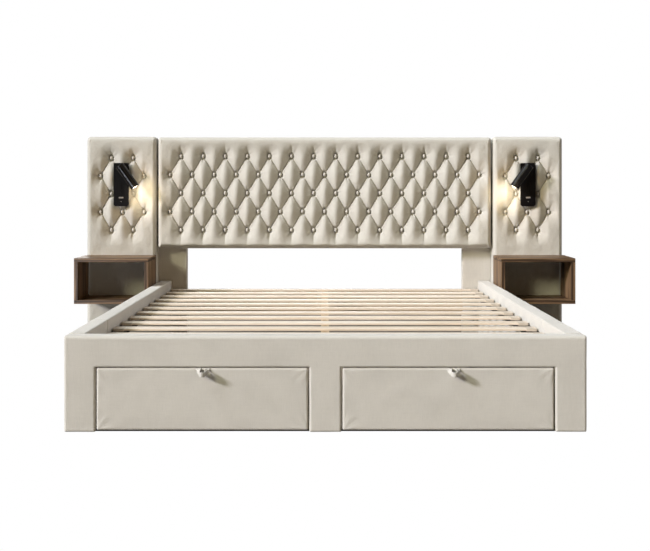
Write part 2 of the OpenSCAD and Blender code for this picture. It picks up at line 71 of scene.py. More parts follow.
def cell_hash(ix, iy, iz, seed):
    m = np.uint64(0xFFFFFFFF)
    h = (ix.astype(np.int64).astype(np.uint64) * np.uint64(73856093)) & m
    h ^= (iy.astype(np.int64).astype(np.uint64) * np.uint64(19349663)) & m
    h ^= (iz.astype(np.int64).astype(np.uint64) * np.uint64(83492791)) & m
    h ^= np.uint64((seed * 2654435761) & 0xFFFFFFFF)
    h = ((h ^ (h >> np.uint64(13))) * np.uint64(1274126177)) & m
    h ^= h >> np.uint64(16)
    h = (h * np.uint64(2246822519)) & m
    h ^= h >> np.uint64(15)
    return (h & np.uint64(0xFFFF)).astype(float) / 32767.5 - 1.0


def noise(p, scale, seed=1):
    """Smooth noise from -1 to 1 at points p, with cells of 1/scale metres."""
    q = np.asarray(p, float) * np.asarray(scale, float)
    i = np.floor(q)
    f = q - i
    f = f * f * (3 - 2 * f)
    out = np.zeros(len(q))
    for cx in (0, 1):
        for cy in (0, 1):
            for cz in (0, 1):
                w = ((f[:, 0] if cx else 1 - f[:, 0])
                     * (f[:, 1] if cy else 1 - f[:, 1])
                     * (f[:, 2] if cz else 1 - f[:, 2]))
                out += w * cell_hash(i[:, 0] + cx, i[:, 1] + cy, i[:, 2] + cz, seed)
    return out


def smooth(t):
    t = np.clip(t, 0, 1)
    return t * t * (3 - 2 * t)


def to_object(name, verts, faces, mat, shade=True):
    """verts in bed coordinates, as (X, Y behind the footboard's front face, Z)."""
    v = np.array(verts, float)
    v[:, 1] -= OY
    me = bpy.data.meshes.new(name)
    me.from_pydata(v.tolist(), [], faces if isinstance(faces, list) else faces.tolist())
    me.update()
    ob = bpy.data.objects.new(name, me)
    bpy.context.scene.collection.objects.link(ob)
    me.materials.append(mat)
    if shade:
        me.polygons.foreach_set("use_smooth", [True] * len(me.polygons))
    return ob


def coords(ob):
    co = np.empty(len(ob.data.vertices) * 3)
    ob.data.vertices.foreach_get("co", co)
    return co.reshape(-1, 3)


def set_coords(ob, co):
    ob.data.vertices.foreach_set("co", np.ascontiguousarray(co, float).ravel())
    ob.data.update()


def normals(ob):
    n = np.empty(len(ob.data.vertices) * 3)
    ob.data.vertex_normals.foreach_get("vector", n)
    return n.reshape(-1, 3)


def apply_modifiers(ob):
    deps = bpy.context.evaluated_depsgraph_get()
    me = bpy.data.meshes.new_from_object(ob.evaluated_get(deps))
    old = ob.data
    ob.modifiers.clear()
    ob.data = me
    bpy.data.meshes.remove(old)
    return ob


# ---------- padded shells ----------

def grid_shell(xs, zs, keep, depths, tri=None, back="grid"):
    """Surface of a slab whose front follows the kept cells of a grid.  Returns
    base points (x, z, t), faces and the back loops.  t is the depth behind the
    front plane, from depths.  tri(i, j) gives how a front cell is split."""
    nx, nz = len(xs), len(zs)
    used = np.zeros((nx, nz), bool)
    for di in (0, 1):
        for dj in (0, 1):
            used[di:nx - 1 + di, dj:nz - 1 + dj] |= keep
    index = -np.ones((nx, nz), int)
    index[used] = np.arange(used.sum())
    ii, jj = np.nonzero(used)
    pts = [np.stack([xs[ii], zs[jj], np.zeros(len(ii))], 1)]
    faces = []
    ci, cj = np.nonzero(keep)
    a, b, c, d = index[ci, cj], index[ci + 1, cj], index[ci + 1, cj + 1], index[ci, cj + 1]
    if tri is None:
        faces += np.stack([a, b, c, d], 1).tolist()
    else:
        way = tri(ci, cj)
        up, dn = way > 0, way < 0
        faces += np.stack([a[up], b[up], c[up]], 1).tolist() + np.stack([a[up], c[up], d[up]], 1).tolist()
        faces += np.stack([a[dn], b[dn], d[dn]], 1).tolist() + np.stack([b[dn], c[dn], d[dn]], 1).tolist()
        flat = way == 0
        faces += np.stack([a[flat], b[flat], c[flat], d[flat]], 1).tolist()
    # directed border edges of the kept cells
    border = {}
    cells = np.zeros((nx + 1, nz + 1), bool)
    cells[1:nx, 1:nz] = keep
    for i, j in zip(ci.tolist(), cj.tolist()):
        if not cells[i + 1, j]:
            border[index[i, j]] = index[i + 1, j]
        if not cells[i + 2, j + 1]:
            border[index[i + 1, j]] = index[i + 1, j + 1]
        if not cells[i + 1, j + 2]:
            border[index[i + 1, j + 1]] = index[i, j + 1]
        if not cells[i, j + 1]:
            border[index[i, j + 1]] = index[i, j]
    loops, left = [], set(border)
    while left:
        s = min(left)
        loop, v = [], s
        while v in left:
            left.remove(v)
            loop.append(v)
            v = border[v]
        loops.append(loop)
    base = pts[0]
    count = len(base)
    rings = {v: [v] for v in border}
    for t in depths[1:]:
        for loop in loops:
            p = base[loop].copy()
            p[:, 2] = t
            pts.append(p)
            for k, v in enumerate(loop):
                rings[v].append(count + k)
            count += len(loop)
    for loop in loops:
        for k, v in enumerate(loop):
            w = loop[(k + 1) % len(loop)]
            for m in range(len(depths) - 1):
                faces.append([rings[w][m], rings[v][m], rings[v][m + 1], rings[w][m + 1]])
    back_loops = [[rings[v][-1] for v in loop] for loop in loops]
    if back == "grid":
        inner = {}
        on_border = np.zeros(len(base), bool)
        on_border[list(border)] = True
        extra = base[~on_border].copy()
        extra[:, 2] = depths[-1]
        pts.append(extra)
        lookup = np.empty(len(base), int)
        lookup[~on_border] = count + np.arange(len(extra))
        for v in border:
            lookup[v] = rings[v][-1]
        quads = np.stack([a, b, c, d], 1)
        faces += lookup[quads][:, ::-1].tolist()
    return np.concatenate(pts), faces, back_loops


def round_edges(base, depth, outline, corner, r_side, r_end, r_back, power, deep=1.0):
    """Rounds the rim of a grid_shell slab.  outline is a list of corners of an
    axis-parallel polygon, counterclockwise in X and Z; corner is the radius of
    its convex corners, and deep how many times deeper than high the rounding of
    the lower edge is.  Returns (points, how far each point lies inside the
    outline)."""
    x, z, t = base[:, 0].copy(), base[:, 1].copy(), base[:, 2]
    n = len(outline)
    best = np.full(len(x), 1e9)
    dirx, dirz = np.zeros(len(x)), np.zeros(len(x))
    for k in range(n):
        (ax, az), (bx, bz) = outline[k], outline[(k + 1) % n]
        ex, ez = bx - ax, bz - az
        l = math.hypot(ex, ez)
        ex, ez = ex / l, ez / l
        ox, oz = ez, -ex                       # outward normal
        s = (x - ax) * ex + (z - az) * ez
        sc = np.clip(s, 0, l)
        px, pz = ax + sc * ex, az + sc * ez
        dist = np.hypot(x - px, z - pz)
        inside = (s > -1e-9) & (s < l + 1e-9)
        hit = dist < best - 1e-9
        safe = np.maximum(dist, 1e-9)
        vx = np.where(inside, ox, (px - x) / safe)
        vz = np.where(inside, oz, (pz - z) / safe)
        dirx, dirz = np.where(hit, vx, dirx), np.where(hit, vz, dirz)
        best = np.where(hit, dist, best)
    e = best
    # convex corners become arcs
    for k in range(n):
        (px_, pz_), (cx, cz), (qx, qz) = outline[k - 1], outline[k], outline[(k + 1) % n]
        turn = (cx - px_) * (qz - cz) - (cz - pz_) * (qx - cx)
        if turn <= 0:
            continue
        ux = np.sign(cx - px_) - np.sign(qx - cx)
        uz = np.sign(cz - pz_) - np.sign(qz - cz)
        mx, mz = cx - ux * corner, cz - uz * corner
        dx, dz = (base[:, 0] - mx) * ux, (base[:, 1] - mz) * uz
        zone = (dx > 0) & (dz > 0) & (dx < corner + 1e-6) & (dz < corner + 1e-6)
        l = np.hypot(dx, dz)
        m = np.maximum(dx, dz)
        k2 = np.where(l > 1e-9, m / np.maximum(l, 1e-9), 1)
        nx_, nz_ = mx + dx * k2 * ux, mz + dz * k2 * uz
        x = np.where(zone, nx_, x)
        z = np.where(zone, nz_, z)
        rad = np.where(l > 1e-9, l, 1)
        dirx = np.where(zone & (m > 1e-9), dx / rad * ux, dirx)
        dirz = np.where(zone & (m > 1e-9), dz / rad * uz, dirz)
        e = np.where(zone, corner - m, e)
    share = dirz ** 2
    top = dirz > 0
    r_z = np.where(top, r_end[1], r_end[0])
    r = r_side * (1 - share) + r_z * share
    s = np.clip(1 - e / r, 0, 1)
    rt = r * (1 + (deep - 1) * share * (dirz < 0))
    qf = np.clip((rt - t) / rt, 0, 1)
    qb = np.clip((t - (depth - r_back)) / r_back, 0, 1) if r_back > 0 else np.zeros(len(t))
    sb = np.clip(1 - e / max(r_back, 1e-6), 0, 1)
    front = t < depth / 2
    nf = np.maximum((s ** power + qf ** power) ** (1 / power), 1e-9)
    nb = np.maximum((sb ** 2 + qb ** 2) ** 0.5, 1e-9)
    move = np.where(front & (qf > 0) & (s > 0), (s - s / nf) * r, 0)
    move = np.where(~front & (qb > 0) & (sb > 0), (sb - sb / nb) * r_back, move)
    y = np.where(front & (qf > 0) & (s > 0), rt - rt * qf / nf, t)
    if r_back > 0:
        y = np.where(~front & (qb > 0) & (sb > 0), depth - r_back + r_back * qb / nb, y)
    return np.stack([x - dirx * move, y, z - dirz * move], 1), e


def spaced(a, b, step):
    n = max(1, int(round((b - a) / step)))
    return np.linspace(a, b, n + 1)


def lines(*parts):
    """Joins runs of grid lines, each (from, to, step)."""
    out = [parts[0][0]]
    for a, b, step in parts:
        out += spaced(a, b, step)[1:].tolist()
    return np.array(out)


def simulate(ob, pin, pressure, frames=20, cap=0.008, shrink=0.0, stiff=15.0, bend=0.5, quality=5, mass=0.3):
    """Inflates a cloth shell with Blender's cloth and keeps its shape."""
    start = coords(ob)
    group = ob.vertex_groups.new(name="pin")
    level = np.round(np.clip(pin, 0, 1) * 10) / 10
    for w in np.unique(level):
        if w > 0:
            group.add(np.nonzero(level == w)[0].tolist(), float(w), "REPLACE")
    mod = ob.modifiers.new("Cloth", "CLOTH")
    s = mod.settings
    s.quality = quality
    s.mass = mass
    s.air_damping = 2.0
    s.tension_stiffness = s.compression_stiffness = stiff
    s.shear_stiffness = stiff / 3
    s.bending_stiffness = bend
    s.tension_damping = s.compression_damping = 15
    s.shear_damping = 10
    s.bending_damping = 2
    s.vertex_group_mass = "pin"
    s.pin_stiffness = 5
    s.use_pressure = True
    s.uniform_pressure_force = pressure
    s.shrink_min = shrink
    s.effector_weights.gravity = 0
    mod.collision_settings.use_collision = False
    mod.collision_settings.use_self_collision = False
    mod.point_cache.frame_start = 1
    mod.point_cache.frame_end = frames
    scene = bpy.context.scene
    for f in range(1, frames + 1):
        scene.frame_set(f)
    deps = bpy.context.evaluated_depsgraph_get()
    ev = ob.evaluated_get(deps)
    end = np.empty(len(ob.data.vertices) * 3)
    ev.data.vertices.foreach_get("co", end)
    end = end.reshape(-1, 3)
    ob.modifiers.clear()
    ob.vertex_groups.clear()
    scene.frame_set(1)
    move = end - start
    move[~np.isfinite(move).all(1)] = 0
    length = np.linalg.norm(move, axis=1)
    k = np.where(length > 1e-9, cap * np.tanh(length / cap) / np.maximum(length, 1e-9), 0)
    set_coords(ob, start + move * k[:, None])
    return ob


# ---------- materials ----------

class Tree:
    def __init__(self, name):
        self.mat = bpy.data.materials.new(name)
        self.mat.use_nodes = True
        self.nt = self.mat.node_tree
        self.nt.nodes.clear()
        self.out = self.nt.nodes.new("ShaderNodeOutputMaterial")
        self.bsdf = self.nt.nodes.new("ShaderNodeBsdfPrincipled")
        self.nt.links.new(self.bsdf.outputs[0], self.out.inputs[0])

    def node(self, kind, inputs=None, **props):
        n = self.nt.nodes.new(kind)
        for k, v in props.items():
            setattr(n, k, v)
        for k, v in (inputs or {}).items():
            self.put(n, k, v)
        return n

    def put(self, n, k, v):
        if isinstance(v, bpy.types.NodeSocket):
            self.nt.links.new(v, n.inputs[k])
        else:
            n.inputs[k].default_value = v

    def set(self, **values):
        for k, v in values.items():
            self.put(self.bsdf, k.replace("_", " "), v)

    def coord(self, scale=(1, 1, 1), turn=(0, 0, 0)):
        tc = self.node("ShaderNodeTexCoord")
        mp = self.node("ShaderNodeMapping", {"Vector": tc.outputs["Object"], "Scale": scale, "Rotation": turn})
        return mp.outputs[0]

    def noise(self, vec, scale, detail=2.0, rough=0.5, distort=0.0):
        return self.node("ShaderNodeTexNoise", {"Vector": vec, "Scale": scale, "Detail": detail,
                                                "Roughness": rough, "Distortion": distort}).outputs["Fac"]

    def wave(self, vec, scale, axis, distort=0.0, detail=1.0, dscale=1.0, profile="SIN"):
        return self.node("ShaderNodeTexWave", {"Vector": vec, "Scale": scale, "Distortion": distort,
                                               "Detail": detail, "Detail Scale": dscale},
                         wave_type="BANDS", bands_direction=axis, wave_profile=profile).outputs["Fac"]

    def math(self, op, a, b=None, clamp=False):
        n = self.node("ShaderNodeMath", operation=op, use_clamp=clamp)
        self.put(n, 0, a)
        if b is not None:
            self.put(n, 1, b)
        return n.outputs[0]

    def ramp(self, fac, stops):
        n = self.node("ShaderNodeValToRGB", {"Fac": fac})
        els = n.color_ramp.elements
        while len(els) < len(stops):
            els.new(0.5)
        for el, (pos, col) in zip(els, stops):
            el.position = pos
            el.color = (*col, 1)
        return n.outputs[0]

    def mix(self, fac, a, b, blend="MIX"):
        n = self.node("ShaderNodeMix", data_type="RGBA", blend_type=blend)
        self.put(n, "Factor", fac)
        for name, v in (("A", a), ("B", b)):
            sock = [s for s in n.inputs if s.name == name and s.type == "RGBA"][0]
            if isinstance(v, bpy.types.NodeSocket):
                self.nt.links.new(v, sock)
            else:
                sock.default_value = (*v, 1)
        return [s for s in n.outputs if s.type == "RGBA"][0]

    def spread(self, fac, low, high):
        return self.node("ShaderNodeMapRange", {"Value": fac, "From Min": 0.3, "From Max": 0.7,
                                                "To Min": low, "To Max": high}).outputs[0]

    def bump(self, height, strength, distance, normal=None):
        n = self.node("ShaderNodeBump", {"Height": height, "Strength": strength, "Distance": distance})
        if normal is not None:
            self.nt.links.new(normal, n.inputs["Normal"])
        return n.outputs[0]


def tint(c, k):
    return tuple(min(1.0, max(0.0, v * k)) for v in c)


FABRIC = (0.628, 0.599, 0.549)


def fabric(name, base=FABRIC, pitch=0.0013, weave=0.35, sheen=0.3):
    """Plain-weave linen blend: slubby threads in two directions."""
    t = Tree(name)
    v = t.coord()
    s = 0.314 / pitch
    slow = t.noise(v, 7.0, 3.0)
    patch = t.noise(v, 42.0, 3.0, 0.6)
    fine = t.noise(t.coord((1, 1, 5)), 260.0, 2.0, 0.6)
    fine2 = t.noise(t.coord((5, 5, 1)), 260.0, 2.0, 0.6)
    slub = t.noise(t.coord((0.5, 0.5, 6)), 62.0, 2.0, 0.6)
    slub2 = t.noise(t.coord((6, 6, 0.5)), 62.0, 2.0, 0.6)
    wx = t.wave(v, s, "X", 1.2, 1.0, 2.0)
    wy = t.wave(v, s, "Y", 1.2, 1.0, 2.0)
    wz = t.wave(v, s, "Z", 1.2, 1.0, 2.0)
    cloth = t.math("ADD", t.math("MULTIPLY", wx, wz), t.math("MULTIPLY", wy, t.math("ADD", wx, wz)))
    col = t.mix(t.spread(slow, 0.0, 1.0), tint(base, 0.965), tint(base, 1.035))
    col = t.mix(t.spread(patch, 0.0, 0.5), col, tint(base, 1.05))
    col = t.mix(t.spread(fine, 0.0, 0.32), col, tint(base, 0.80))
    col = t.mix(t.spread(fine2, 0.0, 0.28), col, tint(base, 1.14))
    col = t.mix(t.spread(slub, 0.0, 0.55), col, tint(base, 0.92))
    col = t.mix(t.spread(slub2, 0.0, 0.55), col, tint(base, 1.08))
    col = t.mix(t.math("MULTIPLY", cloth, 0.22, True), col, tint(base, 0.86))
    t.set(Base_Color=col, Roughness=t.spread(fine, 0.80, 0.96), Sheen_Weight=sheen, Sheen_Roughness=0.45,
          Specular_IOR_Level=0.18)
    b = t.bump(cloth, weave, 0.0004)
    b = t.bump(t.math("ADD", fine, fine2), 0.25, 0.0008, b)
    t.set(Normal=b)
    return t.mat


def wood(name, dark, mid, light, axis, scale=1.0, gloss=0.42, coat=0.0, contrast=1.0):
    """Grain that runs along the given axis."""
    t = Tree(name)
    st = {"X": (1.6, 22, 22), "Y": (22, 1.6, 22), "Z": (22, 22, 1.6)}[axis]
    fn = {"X": (5, 260, 260), "Y": (260, 5, 260), "Z": (260, 260, 5)}[axis]
    broad = t.noise(t.coord(tuple(c * scale for c in st)), 1.0, 4.0, 0.55, 1.3)
    fibre = t.noise(t.coord(tuple(c * scale for c in fn)), 1.0, 3.0, 0.6, 0.2)
    rings = t.wave(t.coord(tuple(c * scale for c in st)), 0.55, {"X": "Z", "Y": "X", "Z": "X"}[axis], 5.5, 3.0, 1.4)
    col = t.ramp(t.math("ADD", t.math("MULTIPLY", broad, 0.65), t.math("MULTIPLY", rings, 0.35)),
                 [(0.5 - 0.22 * contrast, dark), (0.5, mid), (0.5 + 0.24 * contrast, light)])
    col = t.mix(t.spread(fibre, 0.0, 0.45), col, dark)
    pores = t.noise(t.coord(tuple(c * scale * 2.2 for c in fn)), 1.0, 1.0, 0.5)
    pore = t.math("GREATER_THAN", pores, 0.66)
    col = t.mix(t.math("MULTIPLY", pore, 0.35), col, tint(dark, 0.6))
    t.set(Base_Color=col, Roughness=t.spread(fibre, gloss - 0.06, gloss + 0.12), Coat_Weight=coat,
          Coat_Roughness=0.25, Specular_IOR_Level=0.4)
    t.set(Normal=t.bump(t.math("ADD", fibre, t.math("MULTIPLY", pore, -0.5)), 0.25, 0.0003))
    return t.mat


def metal(name, base, rough, metallic=1.0, coat=0.0, grain=0.15, aniso=0.0, spec=0.5):
    t = Tree(name)
    v = t.coord()
    cloud = t.noise(v, 34.0, 3.0, 0.6)
    fine = t.noise(v, 1400.0, 2.0, 0.6)
    smear = t.noise(t.coord((1, 1, 0.12)), 90.0, 3.0, 0.7)
    col = t.mix(t.spread(cloud, 0.0, 1.0), tint(base, 0.90), tint(base, 1.10))
    t.set(Base_Color=col, Metallic=metallic, Roughness=t.spread(smear, rough * 0.8, rough * 1.25),
          Coat_Weight=coat, Coat_Roughness=0.2, Anisotropic=aniso, Specular_IOR_Level=spec)
    t.set(Normal=t.bump(fine, grain, 0.00015))
    return t.mat


def plastic(name, base, rough=0.45, grain=0.2, spec=0.5):
    t = Tree(name)
    v = t.coord()
    cloud = t.noise(v, 18.0, 3.0)
    fine = t.noise(v, 1700.0, 2.0, 0.7)
    col = t.mix(t.spread(cloud, 0.0, 1.0), tint(base, 0.94), tint(base, 1.05))
    t.set(Base_Color=col, Roughness=t.spread(fine, rough - 0.06, rough + 0.1), Specular_IOR_Level=spec)
    t.set(Normal=t.bump(fine, grain, 0.0002))
    return t.mat


def rubber(name, base):
    t = Tree(name)
    v = t.coord()
    fine = t.noise(v, 900.0, 3.0, 0.7)
    dust = t.noise(v, 60.0, 4.0, 0.7)
    col = t.mix(t.spread(dust, 0.0, 0.7), base, tint(base, 1.8))
    t.set(Base_Color=col, Roughness=t.spread(fine, 0.7, 0.95), Specular_IOR_Level=0.3)
    t.set(Normal=t.bump(fine, 0.35, 0.0004))
    return t.mat


def glow(name, base, strength):
    """Frosted diffuser that glows, with a fine grain in its colour and surface."""
    t = Tree(name)
    v = t.coord()
    fine = t.noise(v, 1500.0, 2.0, 0.6)
    col = t.mix(t.spread(fine, 0.0, 1.0), tint(base, 0.97), tint(base, 1.0))
    t.set(Base_Color=col, Roughness=t.spread(fine, 0.45, 0.6), Emission_Color=col, Emission_Strength=strength)
    t.set(Normal=t.bump(fine, 0.2, 0.0002))
    return t.mat


M_FABRIC = fabric("woven_upholstery")
# The headboard's cloth is the footboard's cloth made about a tenth darker. This is painted shade, standing in for the
# headboard getting less light than the footboard. The buttons' cloth is made from it.
HEAD_FABRIC_PAINTED_SHADE = (0.572, 0.550, 0.499)
M_HEAD_PAINTED_SHADE = fabric("woven_upholstery_head_painted_shade", HEAD_FABRIC_PAINTED_SHADE)
M_BUTTON = fabric("button_cloth", tint(HEAD_FABRIC_PAINTED_SHADE, 1.05), 0.0012, 0.35, 0.25)
M_STRAP = fabric("strap_cloth", tint(FABRIC, 0.93), 0.0010, 0.5, 0.2)
WALNUT = ((0.040, 0.021, 0.010), (0.112, 0.063, 0.032), (0.335, 0.205, 0.108))
M_WALNUT_X = wood("walnut_across", *WALNUT, "X", 1.35, 0.50, 0.03, 0.95)
M_WALNUT_Z = wood("walnut_upright", *WALNUT, "Z", 1.35, 0.50, 0.03, 0.95)
BIRCH = ((0.780, 0.650, 0.515), (0.915, 0.815, 0.700), (0.945, 0.865, 0.770))
M_SLAT = wood("slat_wood", *BIRCH, "X", 1.0, 0.55, 0.0, 1.1)
M_BIRCH_Y = wood("ply_lengthwise", *BIRCH, "Y", 1.0, 0.55)
M_BIRCH_X = wood("ply_across", *BIRCH, "X", 0.8, 0.55)
PINE = ((0.420, 0.290, 0.170), (0.560, 0.410, 0.260), (0.640, 0.500, 0.340))
M_PINE_X = wood("timber_across", *PINE, "X", 0.9, 0.6)
M_PINE_Y = wood("timber_lengthwise", *PINE, "Y", 0.9, 0.6)
# Nearly black batten wood: painted shade for the dark gaps seen between the slat ends at the rails.
M_LEDGER_PAINTED_SHADE = wood("ledger_batten_painted_shade", (0.010, 0.008, 0.006), (0.018, 0.014, 0.011), (0.030, 0.024, 0.019), "Y", 0.9, 0.6)
M_PINE_Z = wood("timber_upright", *PINE, "Z", 0.9, 0.6)
M_STEEL = metal("zinc_plate", (0.62, 0.62, 0.60), 0.34, 1.0, 0.0, 0.2)
M_BOLT = metal("bolt_steel", (0.52, 0.52, 0.50), 0.28, 1.0, 0.0, 0.1)
M_BLACK = metal("satin_black", (0.006, 0.0055, 0.006), 0.22, 0.0, 0.0, 0.10, 0.0, 0.26)
M_PLATE = metal("matt_black_plate", (0.005, 0.0045, 0.005), 0.36, 0.0, 0.0, 0.10, 0.0, 0.10)
M_KNUCKLE = metal("knuckle_black", (0.016, 0.015, 0.015), 0.26, 0.3, 0.0, 0.10)
# Beige plastic like the slats but set darker than them. This is partly the caps' own colour and partly painted shade
# at the slat ends.
M_CAP_PARTLY_SHADED = plastic("cap_plastic", (0.66, 0.57, 0.47), 0.5)
M_PORT = plastic("port_plastic", (0.36, 0.355, 0.35), 0.35, 0.1)
M_DOT = plastic("dot_plastic", (0.34, 0.33, 0.31), 0.35, 0.1)
M_FOOT = plastic("foot_plastic", (0.035, 0.035, 0.035), 0.5)
M_FORK = plastic("fork_plastic", (0.05, 0.05, 0.05), 0.5)
M_GROMMET = rubber("bushing_rubber", (0.018, 0.018, 0.018))
M_WHEEL = rubber("wheel_rubber_ring", (0.05, 0.05, 0.052))
M_GLOW = glow("led_diffuser", (1.0, 0.90, 0.70), 9.0)


# ---------- tufting ----------

AMP = 0.033
PIT = 0.0135
RIDGE = 0.15


def tufting(x, z, dx, dz, lim, reach, stay):
    """Depth below the crown for the diamond tufting of a pad, and the distance
    to the nearest pleat with that pleat's strength.  dx and dz are the steps
    of the buttons; lim gives how far the even and the odd rows of buttons
    reach, in steps of dx.  The shape fades over reach above and below them,
    and the share stay of it is left at the lower edge."""
    xc = np.clip(x, -lim[1] * dx, lim[1] * dx)
    zc = np.clip(z, BZ0, BZ0 + 4 * dz)
    row = (zc - BZ0) / dz
    wide = dx * math.sin(math.atan2(dz, dx / 2))
    depth = RIDGE * AMP * np.sin(2 * math.pi * xc / dx) ** 2
    near = np.full(len(x), 9.0)
    hold = np.zeros(len(x))
    side = np.zeros(len(x))
    for sign in (1, -1):
        v = xc / dx - sign * row / 2 + 0.5
        i = np.round(v)
        d = np.abs(v - i)
        depth += AMP / 2 * (1 - 2 * d) ** 2
        lo, hi = np.full(len(x), 99.0), np.full(len(x), -99.0)
        for r in range(5):
            ok = np.abs(i - 0.5 + sign * r / 2) <= lim[r % 2] + 1e-6
            lo = np.where(ok, np.minimum(lo, r), lo)
            hi = np.where(ok, np.maximum(hi, r), hi)
        dist = d * wide
        live = (row >= lo - 1e-6) & (row <= hi + 1e-6) & (x == xc) & (z == zc)
        hit = live & (dist < near)
        near = np.where(hit, dist, near)
        hold = np.where(hit, 1.0, hold)
        side = np.where(hit, np.sign(v - i) * sign, side)
    out_x, out_z = np.abs(x - xc), np.abs(z - zc)
    fade = smooth(out_z / reach)
    depth *= (1 - smooth(out_x / 0.046)) * np.where(z < BZ0, 1 - (1 - stay) * fade, (1 - fade) ** 1.7) ** (1.0 if stay else 1.4)
    return depth, near, hold, side


PANEL_DX, WING_DX = 0.1099, 0.108
WING_DZ = 0.0895
PANEL_BUTTONS = [((k - (n - 1) / 2) * PANEL_DX, BZ0 + r * BDZ)
                 for r, n in enumerate((14, 15, 14, 15, 14)) for k in range(n)]
WING_BUTTONS = [(k * WING_DX, BZ0 + r * WING_DZ)
                for r, ks in enumerate(((-.5, .5), (-1, 0, 1), (-.5, .5), (-1, 1), (-.5, .5))) for k in ks]


def swell(name, xs, zs, pts, pin, z_from, pressure, cap):
    """Inflates the front of a pad with the cloth simulation, on every second
    line of its grid, and gives the move of each point of the full grid."""
    nx, nz = len(xs), len(zs)
    j0 = int(np.argmin(np.abs(zs - BZ0)))
    i0 = int(np.argmin(np.abs(xs)))
    ci = sorted({0, nx - 1} | {i for i in range(nx) if (i - i0) % 2 == 0 and abs(xs[i]) < xs[-1] - 0.004})
    cj = sorted({nz - 1} | {j for j in range(nz) if (j - j0) % 2 == 0 and zs[j] >= z_from - 1e-6})
    count = nx * nz
    full = pts[:count].reshape(nx, nz, 3)
    hold = pin[:count].reshape(nx, nz)[np.ix_(ci, cj)]
    part = full[np.ix_(ci, cj)]
    m, n = len(ci), len(cj)
    ids = np.arange(m * n).reshape(m, n)
    quads = np.stack([ids[:-1, :-1], ids[1:, :-1], ids[1:, 1:], ids[:-1, 1:]], -1).reshape(-1, 4)
    temp = to_object(name + "_swell", part.reshape(-1, 3), quads, M_FABRIC)
    start = coords(temp)
    simulate(temp, hold.ravel(), pressure, 20, cap, 0.0, stiff=15, bend=1.0)
    move = (coords(temp) - start).reshape(m, n, 3)
    bpy.data.objects.remove(temp)
    for _ in range(2):
        for axis in (0, 1):
            pad = np.concatenate([move.take([0], axis), move, move.take([-1], axis)], axis)
            k = pad.shape[axis]
            move = (pad.take(range(0, k - 2), axis) + 2 * move + pad.take(range(2, k), axis)) / 4
    move *= (1 - hold ** 2)[..., None]
    rows = np.empty((nx, n, 3))
    for c in range(3):
        for j in range(n):
            rows[:, j, c] = np.interp(xs, xs[ci], move[:, j, c])
    out = np.zeros((nx, nz, 3))
    for c in range(3):
        for i in range(nx):
            out[i, :, c] = np.interp(zs, zs[cj], rows[i, :, c], left=0.0)
    for axis in (0, 1):
        pad = np.concatenate([out.take([0], axis), out, out.take([-1], axis)], axis)
        k = pad.shape[axis]
        out = (pad.take(range(0, k - 2), axis) + 2 * out + pad.take(range(2, k), axis)) / 4
    whole = np.zeros((len(pts), 3))
    whole[:count] = out.reshape(-1, 3)
    return whole


